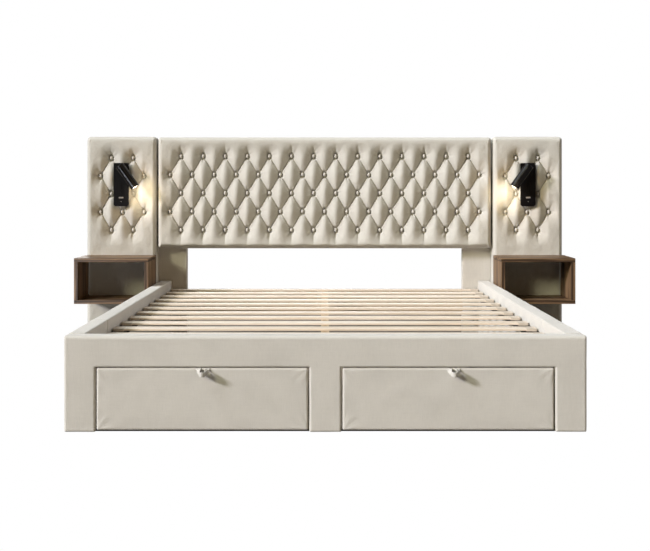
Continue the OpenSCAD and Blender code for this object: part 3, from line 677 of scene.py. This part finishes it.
def tufted_pad(name, cx, xs, zs, box, dx, dz, lim, places, seed, corner, deep, reach, stay, plate=None):
    """A tufted pad with boxed edges; xs is measured from its centre line."""
    x0, x1, z0, z1 = box
    depth = BACK_Y - PANEL_Y - 0.0015
    keep = np.ones((len(xs) - 1, len(zs) - 1), bool)
    xm, zm = (xs[:-1] + xs[1:]) / 2, (zs[:-1] + zs[1:]) / 2

    def split(i, j):
        # cells are split along the pleat that crosses their block
        u = np.floor(xm[i] / (dx / 2) + 1e-6).astype(int)
        w = np.floor((zm[j] - BZ0) / dz + 1e-6).astype(int)
        return np.where((u + w) % 2 == 0, -1, 1)

    rim = 0.02
    base, faces, loops = grid_shell(
        xs, zs, keep, np.concatenate([[0.0], rim * np.array([0.25, 0.5, 0.75, 1.0]),
                                      spaced(rim, depth - 0.004, 0.006)[1:], [depth]]),
        tri=split, back="none")
    outline = [(x0, z0), (x1, z0), (x1, z1), (x0, z1)]
    pts, e = round_edges(base, depth, outline, corner, 0.014, (0.021, 0.017), 0.0, 1.15, deep)
    front = base[:, 2] == 0
    x, z = base[:, 0], base[:, 1]
    d, near, hold, side = tufting(x, z, dx, dz, lim, reach, stay)
    edge = smooth((e - 0.006) / 0.03)
    p3 = np.stack([x + cx, np.zeros(len(x)), z], 1)
    vary = 1 + 0.07 * noise(p3, 9.0, seed)
    sink = d * vary
    rho = np.full(len(x), 9.0)
    ang = np.zeros(len(x))
    which = np.zeros(len(x))
    for k, (bx, bz) in enumerate(places):
        r = np.hypot(x - bx, (z - bz) / 1.5)
        hit = r < rho
        rho = np.where(hit, r, rho)
        ang = np.where(hit, np.arctan2(z - bz, x - bx), ang)
        which = np.where(hit, k, which)
    sink += PIT * np.exp(-(rho / 0.0122) ** 5)
    sink = np.where(front, np.maximum(sink, 0), 0)
    pts[:, 1] = (np.maximum(pts[:, 1], 0) ** 3 + sink ** 3) ** (1 / 3)
    pts[:, 0] += cx
    pts[:, 1] += PANEL_Y
    pressed = np.zeros(len(x), bool)
    if plate is not None:
        pressed = front & (np.abs(x) < plate[0] + 0.001) & (z > plate[1] - 0.001) & (z < plate[2] + 0.001)
    pin = (hold > 0) * (near < 0.0012) * 1.0
    pin = np.maximum(pin, np.exp(-(rho / 0.014) ** 4))
    pin = np.maximum(pin, np.clip(1 - e / 0.022, 0, 1) ** 0.5)
    pin = np.maximum(pin, pressed * 1.0)
    pin = np.maximum(pin, smooth((0.50 - z) / 0.05) if z0 < 0.1 else 0)
    pts += swell(name, xs, zs, pts, pin, 0.46 if z0 < 0.1 else z0, 5.0, 0.0045)
    # the faces of the side strips turn the other way than the front's rim
    ob = to_object(name, pts, faces, M_HEAD_PAINTED_SHADE)
    co = coords(ob)
    co[:, 1] += OY
    # gathers along the pleats and round the buttons, and the pleats' own folds
    out = np.zeros(len(x))
    s = np.where(side >= 0, x + z * 0.6, x - z * 0.6)
    ripple = noise(np.stack([x * 70 + cx * 31, side * 3, z * 52], 1), 1.0, seed + 5)
    out += 0.0011 * ripple * np.exp(-near / 0.013) * hold
    ray = np.sin(ang * 7 + which * 2.39) * 0.6 + np.sin(ang * 11 + which * 4.1) * 0.4
    out += 0.0016 * ray * np.exp(-((rho - 0.017) / 0.014) ** 2)
    groove = 0.0042 * np.exp(-(near / 0.0021) ** 2) * hold * np.clip((rho - 0.006) / 0.01, 0, 1)
    lip = noise(np.stack([which * 1.7 + 3, side * 5, which * 0.3], 1), 1.0, seed + 9) * 0.5 + 0.5
    out += 0.0017 * lip * np.exp(-((near - 0.0062) / 0.0026) ** 2) * hold * (side > 0)
    out += 0.0012 * noise(p3, 26.0, seed + 2) + 0.0005 * noise(p3, 75.0, seed + 3)
    seam = 0.0022 * np.exp(-((e - np.where(np.abs(z - (z0 + z1) / 2) > (z1 - z0) / 2 - 0.03, 0.020, 0.012)) / 0.0022) ** 2)
    out = np.where(front, out * smooth((e - 0.012) / 0.02) - groove * edge, 0)
    co[:, 1] -= out
    co[:, 1] += np.where(front, seam, 0)
    if plate is not None:
        dxp = np.maximum(np.abs(x) - plate[0], 0)
        dzp = np.maximum(np.maximum(plate[1] - z, z - plate[2]), 0)
        floor_y = 2.0065 - 1.5 * np.hypot(dxp, dzp)
        co[:, 1] = np.where(front, np.maximum(co[:, 1], floor_y), co[:, 1])
    co[:, 1] -= OY
    set_coords(ob, co)
    # close the back
    bm = bmesh.new()
    bm.from_mesh(ob.data)
    bm.verts.ensure_lookup_table()
    for loop in loops:
        f = bm.faces.new([bm.verts[i] for i in loop[::-1]])
        f.smooth = False
    bmesh.ops.recalc_face_normals(bm, faces=bm.faces[:])
    bm.to_mesh(ob.data)
    bm.free()
    return ob


nx = 20
step = PANEL_DX / 2 / nx
xs = np.arange(-15 * nx, 15 * nx + 1) * step
xs = np.concatenate([[-0.825], xs[np.abs(xs) < 0.824], [0.825]])
zs = lines((0.468, BZ0, 0.0046), (BZ0, BZ0 + 4 * BDZ, BDZ / nx), (BZ0 + 4 * BDZ, 1.021, 0.0046))
panel = tufted_pad("headboard_panel_cover", 0.0, xs, zs, (-0.825, 0.825, 0.468, 1.021), PANEL_DX, BDZ,
                   (6.5, 7.0), PANEL_BUTTONS, 3, 0.012, 2.6, 0.083, 0.14)
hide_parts("headboard_cushion")
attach(panel, "bed")

wings = []
for sx, side_name in ((-1, "left"), (1, "right")):
    step = WING_DX / 2 / nx
    xs = np.arange(-3 * nx, 3 * nx + 1) * step
    xs = np.concatenate([[-0.1715, -0.1684, -0.1652], xs, [0.1652, 0.1684, 0.1715]])
    zs = lines((0.0, 0.02, 0.004), (0.02, 0.43, 0.011), (0.43, BZ0, 0.0046),
               (BZ0, BZ0 + 4 * WING_DZ, WING_DZ / nx), (BZ0 + 4 * WING_DZ, 1.024, 0.0046))
    wing = tufted_pad(side_name + "_wing_cover", sx * WING_CX, xs, zs, (-0.1715, 0.1715, 0.0, 1.024), WING_DX,
                      WING_DZ, (0.5, 1.0), WING_BUTTONS, 11 if sx < 0 else 17, 0.018, 1.0, 0.088, 0.0,
                      plate=(0.037, 0.679, 0.893))
    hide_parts(side_name + "_wing_cushion")
    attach(wing, "bed")
    wings.append(wing)


# ---------- covered buttons ----------

def covered_buttons():
    verts, faces = [], []
    prof = [(0.0, 0.0), (0.30, 0.0003), (0.55, 0.0011), (0.76, 0.0026), (0.91, 0.0046),
            (0.99, 0.0068), (1.0, 0.0084), (0.90, 0.0096), (0.66, 0.0104), (0.50, 0.0150), (0.50, 0.0260)]
    n = 24
    places = [(bx, bz) for bx, bz in PANEL_BUTTONS]
    places += [(s * WING_CX + bx, bz) for s in (-1, 1) for bx, bz in WING_BUTTONS]
    for k, (bx, bz) in enumerate(places):
        o = len(verts)
        ph = k * 1.7
        verts.append((bx, BUTTON_Y, bz))
        for m, (r, y) in enumerate(prof[1:]):
            for i in range(n):
                a = 2 * math.pi * i / n
                pleat = 0.03 * math.sin(6 * a + ph) * r ** 4
                verts.append((bx + (r + pleat) * 0.0068 * math.cos(a), BUTTON_Y + y + pleat * 0.01,
                              bz + (r + pleat) * 0.0102 * math.sin(a)))
        for i in range(n):
            faces.append([o, o + 1 + i, o + 1 + (i + 1) % n])
        for m in range(len(prof) - 2):
            for i in range(n):
                a, b = o + 1 + m * n + i, o + 1 + m * n + (i + 1) % n
                faces.append([a, a + n, b + n, b])
        faces.append([o + 1 + (len(prof) - 2) * n + i for i in range(n - 1, -1, -1)])
    return verts, faces


BUTTON_Y = 2.0225
verts, faces = covered_buttons()
buttons = to_object("covered_buttons", verts, faces, M_BUTTON)
bm = bmesh.new()
bm.from_mesh(buttons.data)
bmesh.ops.recalc_face_normals(bm, faces=bm.faces[:])
bm.to_mesh(buttons.data)
bm.free()
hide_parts("tuft_buttons")
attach(buttons, "bed")


# ---------- footboard ----------

def add_wrinkles(ob, amount, scale, seed, keep=None):
    co = coords(ob)
    n = normals(ob)
    d = amount * (0.7 * noise(co, scale, seed) + 0.3 * noise(co, np.array(scale) * 2.7, seed + 1))
    if keep is not None:
        d = d * keep
    set_coords(ob, co + n * d[:, None])


leg_in = HALF - 0.100
xs = lines((-HALF, -HALF + 0.012, 0.002), (-HALF + 0.012, -leg_in - 0.012, 0.008), (-leg_in - 0.012, -leg_in, 0.002),
           (-leg_in, -0.063, 0.010), (-0.063, -0.051, 0.004), (-0.051, -0.039, 0.002), (-0.039, 0.039, 0.008),
           (0.039, 0.051, 0.002), (0.051, 0.063, 0.004), (0.063, leg_in, 0.010), (leg_in, leg_in + 0.012, 0.002),
           (leg_in + 0.012, HALF - 0.012, 0.008), (HALF - 0.012, HALF, 0.002))
beam = 0.2047
zs = lines((0.0, 0.010, 0.002), (0.010, beam - 0.012, 0.008), (beam - 0.012, beam, 0.004), (beam, beam + 0.012, 0.002),
           (beam + 0.012, 0.292, 0.008), (0.292, 0.304, 0.002))
xm, zm = (xs[:-1] + xs[1:]) / 2, (zs[:-1] + zs[1:]) / 2
in_leg = (np.abs(xm) > leg_in) | (np.abs(xm) < 0.051)
keep = in_leg[:, None] | (zm > beam)[None, :]
T = 0.060
base, faces, loops = grid_shell(xs, zs, keep, np.concatenate([[0.0], 0.008 * np.array([.25, .5, .75, 1.0]),
                                                             spaced(0.008, T - 0.008, 0.008)[1:],
                                                             T - 0.008 * np.array([.75, .5, .25, 0.0])]))
outline = [(-HALF, 0), (-leg_in, 0), (-leg_in, beam), (-0.051, beam), (-0.051, 0), (0.051, 0), (0.051, beam),
           (leg_in, beam), (leg_in, 0), (HALF, 0), (HALF, 0.304), (-HALF, 0.304)]
pts, e = round_edges(base, T, outline, 0.005, 0.008, (0.006, 0.008), 0.008, 2.0)
# the padding rolls back softly to the top edge
roll = np.clip((pts[:, 2] - 0.290) / 0.014, 0, 1)
pts[:, 1] += 0.0035 * roll ** 2 * (1 - np.clip(pts[:, 1] / T, 0, 1))
foot = to_object("footboard_cover", pts, faces, M_FABRIC)
pin = np.clip(1 - e / 0.03, 0, 1) * 0.9
pin = np.maximum(pin, (base[:, 2] > 0.002) * (base[:, 2] < T - 0.002) * 1.0)
simulate(foot, pin, 1.0, 14, 0.002, 0.002)
add_wrinkles(foot, 0.0007, 14.0, 5)
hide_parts("footboard_top_cover", "footboard_leg_covers")
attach(foot, "bed")


# ---------- side rails and posts ----------

def loop_profile(w, h, r, n_arc=6, n_w=4, n_h=14):
    """Closed rounded rectangle, counterclockwise, centred on the origin."""
    pts = []
    for cx, cz, a0 in ((1, -1, -90), (1, 1, 0), (-1, 1, 90), (-1, -1, 180)):
        for k in range(n_arc + 1):
            a = math.radians(a0 + 90 * k / n_arc)
            pts.append((cx * (w / 2 - r) + r * math.cos(a), cz * (h / 2 - r) + r * math.sin(a)))
    out = []
    for k, p in enumerate(pts):
        q = pts[(k + 1) % len(pts)]
        out.append(p)
        l = math.hypot(q[0] - p[0], q[1] - p[1])
        m = int(l / 0.02)
        for j in range(1, m + 1):
            s = j / (m + 1)
            out.append((p[0] + (q[0] - p[0]) * s, p[1] + (q[1] - p[1]) * s))
    return np.array(out)


def loft(name, profile, stations, place, end_round=0.0):
    """Sweeps a closed profile along stations; place(profile, s) gives points."""
    verts, faces = [], []
    n = len(profile)
    a, b = stations[0], stations[-1]
    for s in stations:
        verts.append(place(profile, s))
    m = len(stations)
    for k in range(m - 1):
        for i in range(n):
            j = (i + 1) % n
            faces.append([k * n + i, k * n + j, (k + 1) * n + j, (k + 1) * n + i])
    faces.append(list(range(n - 1, -1, -1)))
    faces.append([(m - 1) * n + i for i in range(n)])
    ob = to_object(name, np.concatenate(verts), faces, M_FABRIC)
    bm = bmesh.new()
    bm.from_mesh(ob.data)
    bmesh.ops.recalc_face_normals(bm, faces=bm.faces[:])
    bm.faces.ensure_lookup_table()
    for f in bm.faces:
        if len(f.verts) > 4:
            f.smooth = False
    bm.to_mesh(ob.data)
    bm.free()
    return ob


SEAM_Y = 0.427
rails = []
for sx, side_name in ((-1, "left"), (1, "right")):
    prof = loop_profile(0.056, 0.284, 0.006)
    st = np.array(sorted(set(np.round(np.concatenate([
        spaced(0.0605, 0.400, 0.012), spaced(0.400, 0.455, 0.0022), spaced(0.455, 2.0945, 0.014)]), 5))))

    def rail_place(p, s, sx=sx):
        dip = 0.0072 * math.exp(-((s - SEAM_Y) / 0.0055) ** 2)
        puff = 0.0010 * math.exp(-((abs(s - SEAM_Y) - 0.008) / 0.006) ** 2)
        k = 1 - (dip - puff) / 0.028
        kz = 1 - (dip - puff) / 0.142
        return np.stack([sx * 0.798 + p[:, 0] * k, np.full(len(p), s), 0.162 + p[:, 1] * kz], 1)

    rail = loft(side_name + "_rail_cover", prof, st, rail_place)
    co = coords(rail)
    inner = (np.abs(co[:, 1] + OY - 1.08) < 1.0) * 1.0
    add_wrinkles(rail, 0.0009, 9.0, 21 if sx < 0 else 27, inner)
    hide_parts("side_rail_covers")
    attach(rail, "bed")
    rails.append(rail)

for sx, side_name in ((-1, "left"), (1, "right")):
    prof = loop_profile(0.1432, 0.045, 0.004)
    st = np.concatenate([[0.0, 0.002, 0.006], spaced(0.012, 0.868, 0.014), [0.874, 0.878, 0.880]])

    def post_place(p, s, sx=sx):
        end = min(s, 0.880 - s)
        k = 0.010 * (1 - math.sqrt(max(0.0, 1 - (1 - min(end / 0.010, 1)) ** 2)))
        return np.stack([sx * 0.765 + p[:, 0] * (1 - k / 0.070), 2.1175 + p[:, 1] * (1 - k / 0.0225),
                         np.full(len(p), s)], 1)

    post = loft(side_name + "_post_cover", prof, st, post_place)
    add_wrinkles(post, 0.0006, 12.0, 31 if sx < 0 else 37)
    cutters = []
    for zc in (0.540, 0.690, 0.840):
        me = bpy.data.meshes.new("cut")
        bm = bmesh.new()
        bmesh.ops.create_cone(bm, cap_ends=True, segments=40, radius1=0.009, radius2=0.009, depth=0.02,
                              matrix=Matrix.Translation((sx * 0.765, 2.1415 - OY, zc)) @ Matrix.Rotation(math.pi / 2, 4, "X"))
        bm.to_mesh(me)
        bm.free()
        c = bpy.data.objects.new("cut", me)
        bpy.context.scene.collection.objects.link(c)
        mod = post.modifiers.new("hole", "BOOLEAN")
        mod.object = c
        mod.operation = "DIFFERENCE"
        mod.solver = "EXACT"
        cutters.append(c)
    apply_modifiers(post)
    for c in cutters:
        bpy.data.objects.remove(c)
    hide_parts("head_posts")
    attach(post, "bed")


# ---------- drawer fronts and pulls ----------

for sx, side_name in ((-1, "left"), (1, "right")):
    x0, x1 = (-0.723, -0.054) if sx < 0 else (0.054, 0.723)
    z0, z1 = 0.006, 0.2022
    xs = lines((x0, x0 + 0.012, 0.002), (x0 + 0.012, x1 - 0.012, 0.0068), (x1 - 0.012, x1, 0.002))
    zs = lines((z0, z0 + 0.012, 0.002), (z0 + 0.012, z1 - 0.012, 0.0062), (z1 - 0.012, z1, 0.002))
    keep = np.ones((len(xs) - 1, len(zs) - 1), bool)
    T = 0.0365
    base, faces, loops = grid_shell(xs, zs, keep, np.concatenate([[0.0], 0.008 * np.array([.25, .5, .75, 1.0]),
                                                                 spaced(0.008, T, 0.006)[1:]]))
    pts, e = round_edges(base, T, [(x0, z0), (x1, z0), (x1, z1), (x0, z1)], 0.005, 0.0075, (0.0065, 0.0065), 0.0, 2.0)
    ob = to_object(side_name + "_drawer_cushion", pts, faces, M_FABRIC)
    pin = np.where(base[:, 2] > 0, 1.0, np.clip(1 - e / 0.03, 0, 1) * 0.9)
    simulate(ob, pin, 1.2, 16, 0.002, 0.002, bend=1.0)
    co = coords(ob)
    front = (base[:, 2] < 0.001) * 1.0
    add_wrinkles(ob, 0.0008, 12.0, 41 if sx < 0 else 47, front)
    # short puckers that run in from the corners
    co = coords(ob)
    for cx, cz in ((x0, z0), (x1, z0), (x0, z1), (x1, z1)):
        vx, vz = co[:, 0] - cx, co[:, 2] - cz
        r = np.hypot(vx, vz)
        a = np.arctan2(vz, vx)
        co[:, 1] += front * 0.0008 * np.sin(9 * a + cx * 40) * np.exp(-((r - 0.035) / 0.022) ** 2)
    co[:, 1] = np.maximum(co[:, 1], -OY - 0.004)
    set_coords(ob, co)
    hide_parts(side_name + "_drawer_front_cover")
    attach(ob, side_name + "_drawer")

for sx, side_name, px in ((-1, "left", -0.3855), (1, "right", 0.4045)):
    # a ribbon that leaves the drawer's top seam flat, turns on edge, and goes round the nose
    n = 84
    path, edge = [], []
    for k in range(n + 1):
        u = k / n
        way = 1 if u < 0.5 else -1
        if u < 0.37 or u > 0.63:
            s = (u if u < 0.5 else 1 - u) / 0.37
            path.append((-way * (0.0145 - 0.0075 * s + 0.0012 * math.sin(math.pi * s)),
                         0.009 - 0.0455 * s, 0.2009 - 0.0132 * float(smooth(s))))
            turn = math.pi / 2 * float(smooth(min(1.0, max(0.0, (s - 0.10) / 0.75))))
        else:
            a = math.pi * (u - 0.37) / 0.26
            path.append((-0.0070 * math.cos(a), -0.0365 - 0.0070 * math.sin(a), 0.1877))
            turn = math.pi / 2
        edge.append((way * math.cos(turn), 0.0, math.sin(turn)))
    path, edge = np.array(path), np.array(edge)
    tan = np.gradient(path, axis=0)
    tan /= np.linalg.norm(tan, axis=1)[:, None]
    edge -= tan * (edge * tan).sum(1)[:, None]
    edge /= np.linalg.norm(edge, axis=1)[:, None]
    nor = np.cross(edge, tan)
    sec = [(-1, -1), (-1.25, -0.96), (-1.25, -0.5), (-0.9, 0.0), (-1.25, 0.5), (-1.25, 0.96), (-1, 1),
           (1, 1), (1.25, 0.96), (1.25, 0.5), (0.9, 0.0), (1.25, -0.5), (1.25, -0.96), (1, -1)]
    hh, th = 0.0074, 0.00105
    verts, faces = [], []
    for k in range(n + 1):
        for a, b in sec:
            v = path[k] + nor[k] * a * th + edge[k] * b * hh
            verts.append((px + float(v[0]), float(v[1]), float(v[2])))
    m = len(sec)
    for k in range(n):
        for i in range(m):
            j = (i + 1) % m
            faces.append([k * m + i, k * m + j, (k + 1) * m + j, (k + 1) * m + i])
    faces.append(list(range(m)))
    faces.append([n * m + i for i in range(m - 1, -1, -1)])
    strap = to_object(side_name + "_pull_strap", verts, faces, M_STRAP)
    bm = bmesh.new()
    bm.from_mesh(strap.data)
    bmesh.ops.recalc_face_normals(bm, faces=bm.faces[:])
    bm.to_mesh(strap.data)
    bm.free()
    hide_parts(side_name + "_drawer_pull")
    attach(strap, side_name + "_drawer")


# ---------- boards with eased edges ----------

def eased(node, width, mat, name=None, limit=0.6, segments=2):
    """A copy of a CAD node whose sharp edges are eased, in place of the node."""
    src = NODES[node]
    me = src.data.copy()
    bm = bmesh.new()
    bm.from_mesh(me)
    bmesh.ops.remove_doubles(bm, verts=bm.verts[:], dist=1e-6)
    bmesh.ops.dissolve_limit(bm, angle_limit=0.01, verts=bm.verts[:], edges=bm.edges[:])
    edges = [e for e in bm.edges if len(e.link_faces) == 2 and e.calc_face_angle(0) > limit]
    bmesh.ops.bevel(bm, geom=edges, offset=width, segments=segments, profile=0.5, affect="EDGES", clamp_overlap=True)
    bmesh.ops.recalc_face_normals(bm, faces=bm.faces[:])
    bm.to_mesh(me)
    bm.free()
    me.materials.clear()
    me.materials.append(mat)
    ob = bpy.data.objects.new(name or node + "_piece", me)
    bpy.context.scene.collection.objects.link(ob)
    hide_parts(node)
    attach(ob, [b for b, e in frame["bodies"].items() if src.parent == e][0])
    return ob


for s in ("left", "right"):
    eased(s + "_shelf_top", 0.0012, M_WALNUT_X, s + "_shelf_top_board")
    eased(s + "_shelf_bottom", 0.0012, M_WALNUT_X, s + "_shelf_bottom_board")
    eased(s + "_shelf_sides", 0.0010, M_WALNUT_Z, s + "_shelf_side_boards")
    eased(s + "_drawer_sides", 0.0010, M_BIRCH_Y, s + "_drawer_side_boards")
    eased(s + "_drawer_back", 0.0010, M_BIRCH_X, s + "_drawer_back_board")
eased("slats", 0.0013, M_SLAT, "slat_boards")
eased("center_beam", 0.002, M_PINE_Y, "center_beam_timber")
eased("slat_ledgers", 0.0015, M_LEDGER_PAINTED_SHADE, "slat_ledger_battens")
eased("head_cross_rail", 0.0015, M_PINE_X, "head_cross_rail_timber")


def finish_node(node, mat):
    me = NODES[node].data
    me.materials.clear()
    me.materials.append(mat)


for node, mat in {
    "footboard_frame": M_PINE_X, "side_rail_boards": M_PINE_Y, "corner_brackets": M_STEEL, "frame_bolts": M_BOLT,
    "beam_hangers": M_STEEL, "center_legs": M_PINE_Z, "leveling_feet": M_FOOT, "slat_caps": M_CAP_PARTLY_SHADED,
    "headboard_board": M_PINE_X, "wing_boards": M_PINE_Z, "wing_brackets": M_STEEL, "shelf_screws": M_BOLT,
    "usb_ports": M_PORT, "lamp_indicators": M_DOT, "cable_grommets": M_GROMMET,
}.items():
    finish_node(node, mat)
for s in ("left", "right"):
    finish_node(s + "_lamp_backplate", M_PLATE)
    finish_node(s + "_lamp_knuckle", M_KNUCKLE)
    finish_node(s + "_lamp_head", M_BLACK)
    finish_node(s + "_lamp_led", M_GLOW)
    finish_node(s + "_drawer_front_board", M_BIRCH_X)
    finish_node(s + "_drawer_bottom", M_BIRCH_Y)
    finish_node(s + "_drawer_wheel_brackets", M_FORK)
    finish_node(s + "_front_wheels", M_WHEEL)
    finish_node(s + "_rear_wheels", M_WHEEL)


# ---------- lamp light, floor, studio light, camera ----------

for sx, s in ((-1, "left"), (1, "right")):
    a = math.radians(35.5)
    along = Vector((-sx * math.sin(a), 0, -math.cos(a)))
    pin = Vector((sx * (WING_CX - 0.005), 1.982 - OY, 0.874))
    tip = pin + Vector((0, -0.0305, 0)) + along * 0.124
    for kind, ahead, off, power, color in (("near", 0.026, -0.012, 0.07, (1.0, 0.82, 0.54)),
                                           ("wide", 0.018, -0.080, 0.22, (1.0, 0.56, 0.20)),
                                           ("pool", 0.022, -0.150, 1.7, (1.0, 0.89, 0.66))):
        lamp = bpy.data.lights.new(s + "_reading_light_" + kind, "SPOT" if kind == "pool" else "POINT")
        lamp.energy = power
        lamp.color = color
        lamp.shadow_soft_size = 0.018
        ob = bpy.data.objects.new(s + "_reading_light_" + kind, lamp)
        bpy.context.scene.collection.objects.link(ob)
        ob.location = tip + along * ahead + Vector((0, off, 0))
        if kind == "pool":
            lamp.spot_size = math.radians(62)
            lamp.spot_blend = 1.0
            ob.rotation_euler = (along * 0.022 + Vector((0, 0.165, 0.003))).to_track_quat("-Z", "Y").to_euler()
        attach(ob, s + "_lamp_spot")

bm = bmesh.new()
bmesh.ops.create_grid(bm, x_segments=2, y_segments=2, size=30)
me = bpy.data.meshes.new("studio_floor")
bm.to_mesh(me)
bm.free()
floor = bpy.data.objects.new("studio_floor", me)
bpy.context.scene.collection.objects.link(floor)
floor.location = (0, 0, -0.0005)
t = Tree("studio_floor_white_and_painted_shade")
cloud = t.noise(t.coord(), 1.5, 2.0)
place = t.node("ShaderNodeSeparateXYZ", {"Vector": t.node("ShaderNodeTexCoord").outputs["Object"]})
ax = t.math("ABSOLUTE", place.outputs["X"])
# Under the bed and up to about two metres behind the headboard, the camera does not see the floor as white. There it
# shows its own shading on a dark tan tone. This patch is painted shade shaped like the bed's shadow, and it makes the
# gaps between the slats look dark.
behind = t.node("ShaderNodeMapRange", {"Value": place.outputs["Y"], "From Min": 2.3, "From Max": 3.1,
                                       "To Min": 1.0, "To Max": 0.0}, interpolation_type="SMOOTHSTEP").outputs[0]
beside = t.node("ShaderNodeMapRange", {"Value": ax, "From Min": 0.84, "From Max": 1.10,
                                       "To Min": 1.0, "To Max": 0.0}, interpolation_type="SMOOTHSTEP").outputs[0]
inside = t.math("MULTIPLY", t.math("LESS_THAN", ax, 0.80), t.math("GREATER_THAN", place.outputs["Y"], -1.03))
painted_shade_patch = t.math("MULTIPLY", behind, t.math("MAXIMUM", inside, t.math("MULTIPLY", beside,
               t.math("GREATER_THAN", place.outputs["Y"], 1.092))))
tone = t.mix(t.spread(cloud, 0.0, 1.0), (0.15, 0.145, 0.14), (0.17, 0.165, 0.16))
t.set(Base_Color=t.mix(painted_shade_patch, tone, (0.22, 0.185, 0.15)), Roughness=0.9, Specular_IOR_Level=0.1)
path_ray = t.math("MULTIPLY", t.node("ShaderNodeLightPath").outputs["Is Camera Ray"], t.math("SUBTRACT", 1.0, painted_shade_patch))
white = t.node("ShaderNodeEmission", {"Color": (1, 1, 1, 1), "Strength": 1.0})
blend = t.node("ShaderNodeMixShader", {"Fac": path_ray})
t.nt.links.new(t.bsdf.outputs[0], blend.inputs[1])
t.nt.links.new(white.outputs[0], blend.inputs[2])
t.nt.links.new(blend.outputs[0], t.out.inputs[0])
me.materials.append(t.mat)

AMBIENT = (0.019, 0.0185, 0.011)
world = bpy.data.worlds.new("studio")
bpy.context.scene.world = world
world.use_nodes = True
nt = world.node_tree
nt.nodes.clear()
wout = nt.nodes.new("ShaderNodeOutputWorld")
seen = nt.nodes.new("ShaderNodeBackground")
seen.inputs[0].default_value = (1, 1, 1, 1)
seen.inputs[1].default_value = 1.0
fill = nt.nodes.new("ShaderNodeBackground")
fill.inputs[0].default_value = (*AMBIENT, 1)
fill.inputs[1].default_value = 1.0
ray = nt.nodes.new("ShaderNodeLightPath")
mixw = nt.nodes.new("ShaderNodeMixShader")
nt.links.new(ray.outputs["Is Camera Ray"], mixw.inputs[0])
nt.links.new(fill.outputs[0], mixw.inputs[1])
nt.links.new(seen.outputs[0], mixw.inputs[2])
nt.links.new(mixw.outputs[0], wout.inputs[0])


def distant(name, travel, energy, angle, color=(1, 1, 1)):
    light = bpy.data.lights.new(name, "SUN")
    light.energy = energy
    light.angle = math.radians(angle)
    light.color = color
    ob = bpy.data.objects.new(name, light)
    bpy.context.scene.collection.objects.link(ob)
    ob.location = (-4, -4, 4)
    ob.rotation_euler = Vector(travel).to_track_quat("-Z", "Y").to_euler()
    return ob


distant("key", (1.8, 1.0, -0.85), 3.32, 9, (0.93, 0.91, 1.0))
distant("second_key", (0.8, 1.0, -0.5), 0.98, 12, (1.0, 0.95, 0.62))
distant("top_softbox", (0.7, 0.15, -1.0), 1.70, 28, (0.88, 0.97, 1.0))
distant("right_fill", (-1.0, 1.0, -0.3), 0.30, 60, (1.0, 0.70, 0.38))
distant("far_right", (-1.0, -0.15, -0.4), 0.78, 40, (0.95, 0.97, 1.0))
distant("back_fill", (0.15, -1.0, -0.15), 1.1, 30, (1.0, 0.97, 0.93))
# a long strip above the headboard that lifts its top edge
hair = bpy.data.lights.new("head_strip", "AREA")
hair.shape = "RECTANGLE"
hair.size, hair.size_y = 2.6, 0.08
hair.energy = 1.8
hair.color = (0.93, 0.97, 1.0)
ob = bpy.data.objects.new("head_strip", hair)
bpy.context.scene.collection.objects.link(ob)
ob.location = (0, 0.74, 1.5)
ob.visible_camera = False
ob.visible_glossy = False
# a narrow strip, low at the left, that only shows as a streak along the left lamp's head
strip = bpy.data.lights.new("low_strip", "AREA")
strip.shape = "RECTANGLE"
strip.size, strip.size_y = 0.12, 0.40
strip.energy = 10.5
strip.color = (0.86, 0.90, 1.0)
ob = bpy.data.objects.new("low_strip", strip)
bpy.context.scene.collection.objects.link(ob)
ob.location = (-1.73, -0.33, 0.30)
ob.rotation_euler = (Vector((-1.03, 0.90, 0.80)) - ob.location).to_track_quat("-Z", "Y").to_euler()
ob.visible_camera = False
ob.visible_diffuse = False

cam = bpy.data.cameras.new("camera")
cam.sensor_width = 36
cam.lens = 1115 / 650 * 36
cam.shift_x = 0.0026
cam.shift_y = -0.13575
cam.clip_start = 0.05
camera = bpy.data.objects.new("camera", cam)
bpy.context.scene.collection.objects.link(camera)
camera.location = (-0.0065, -4.567, 0.773)
camera.rotation_euler = (math.pi / 2, 0, 0)
bpy.context.scene.camera = camera
view = bpy.context.scene.view_settings
view.view_transform = "Standard"
view.look = "None"
view.exposure = 0.0
view.gamma = 1.0
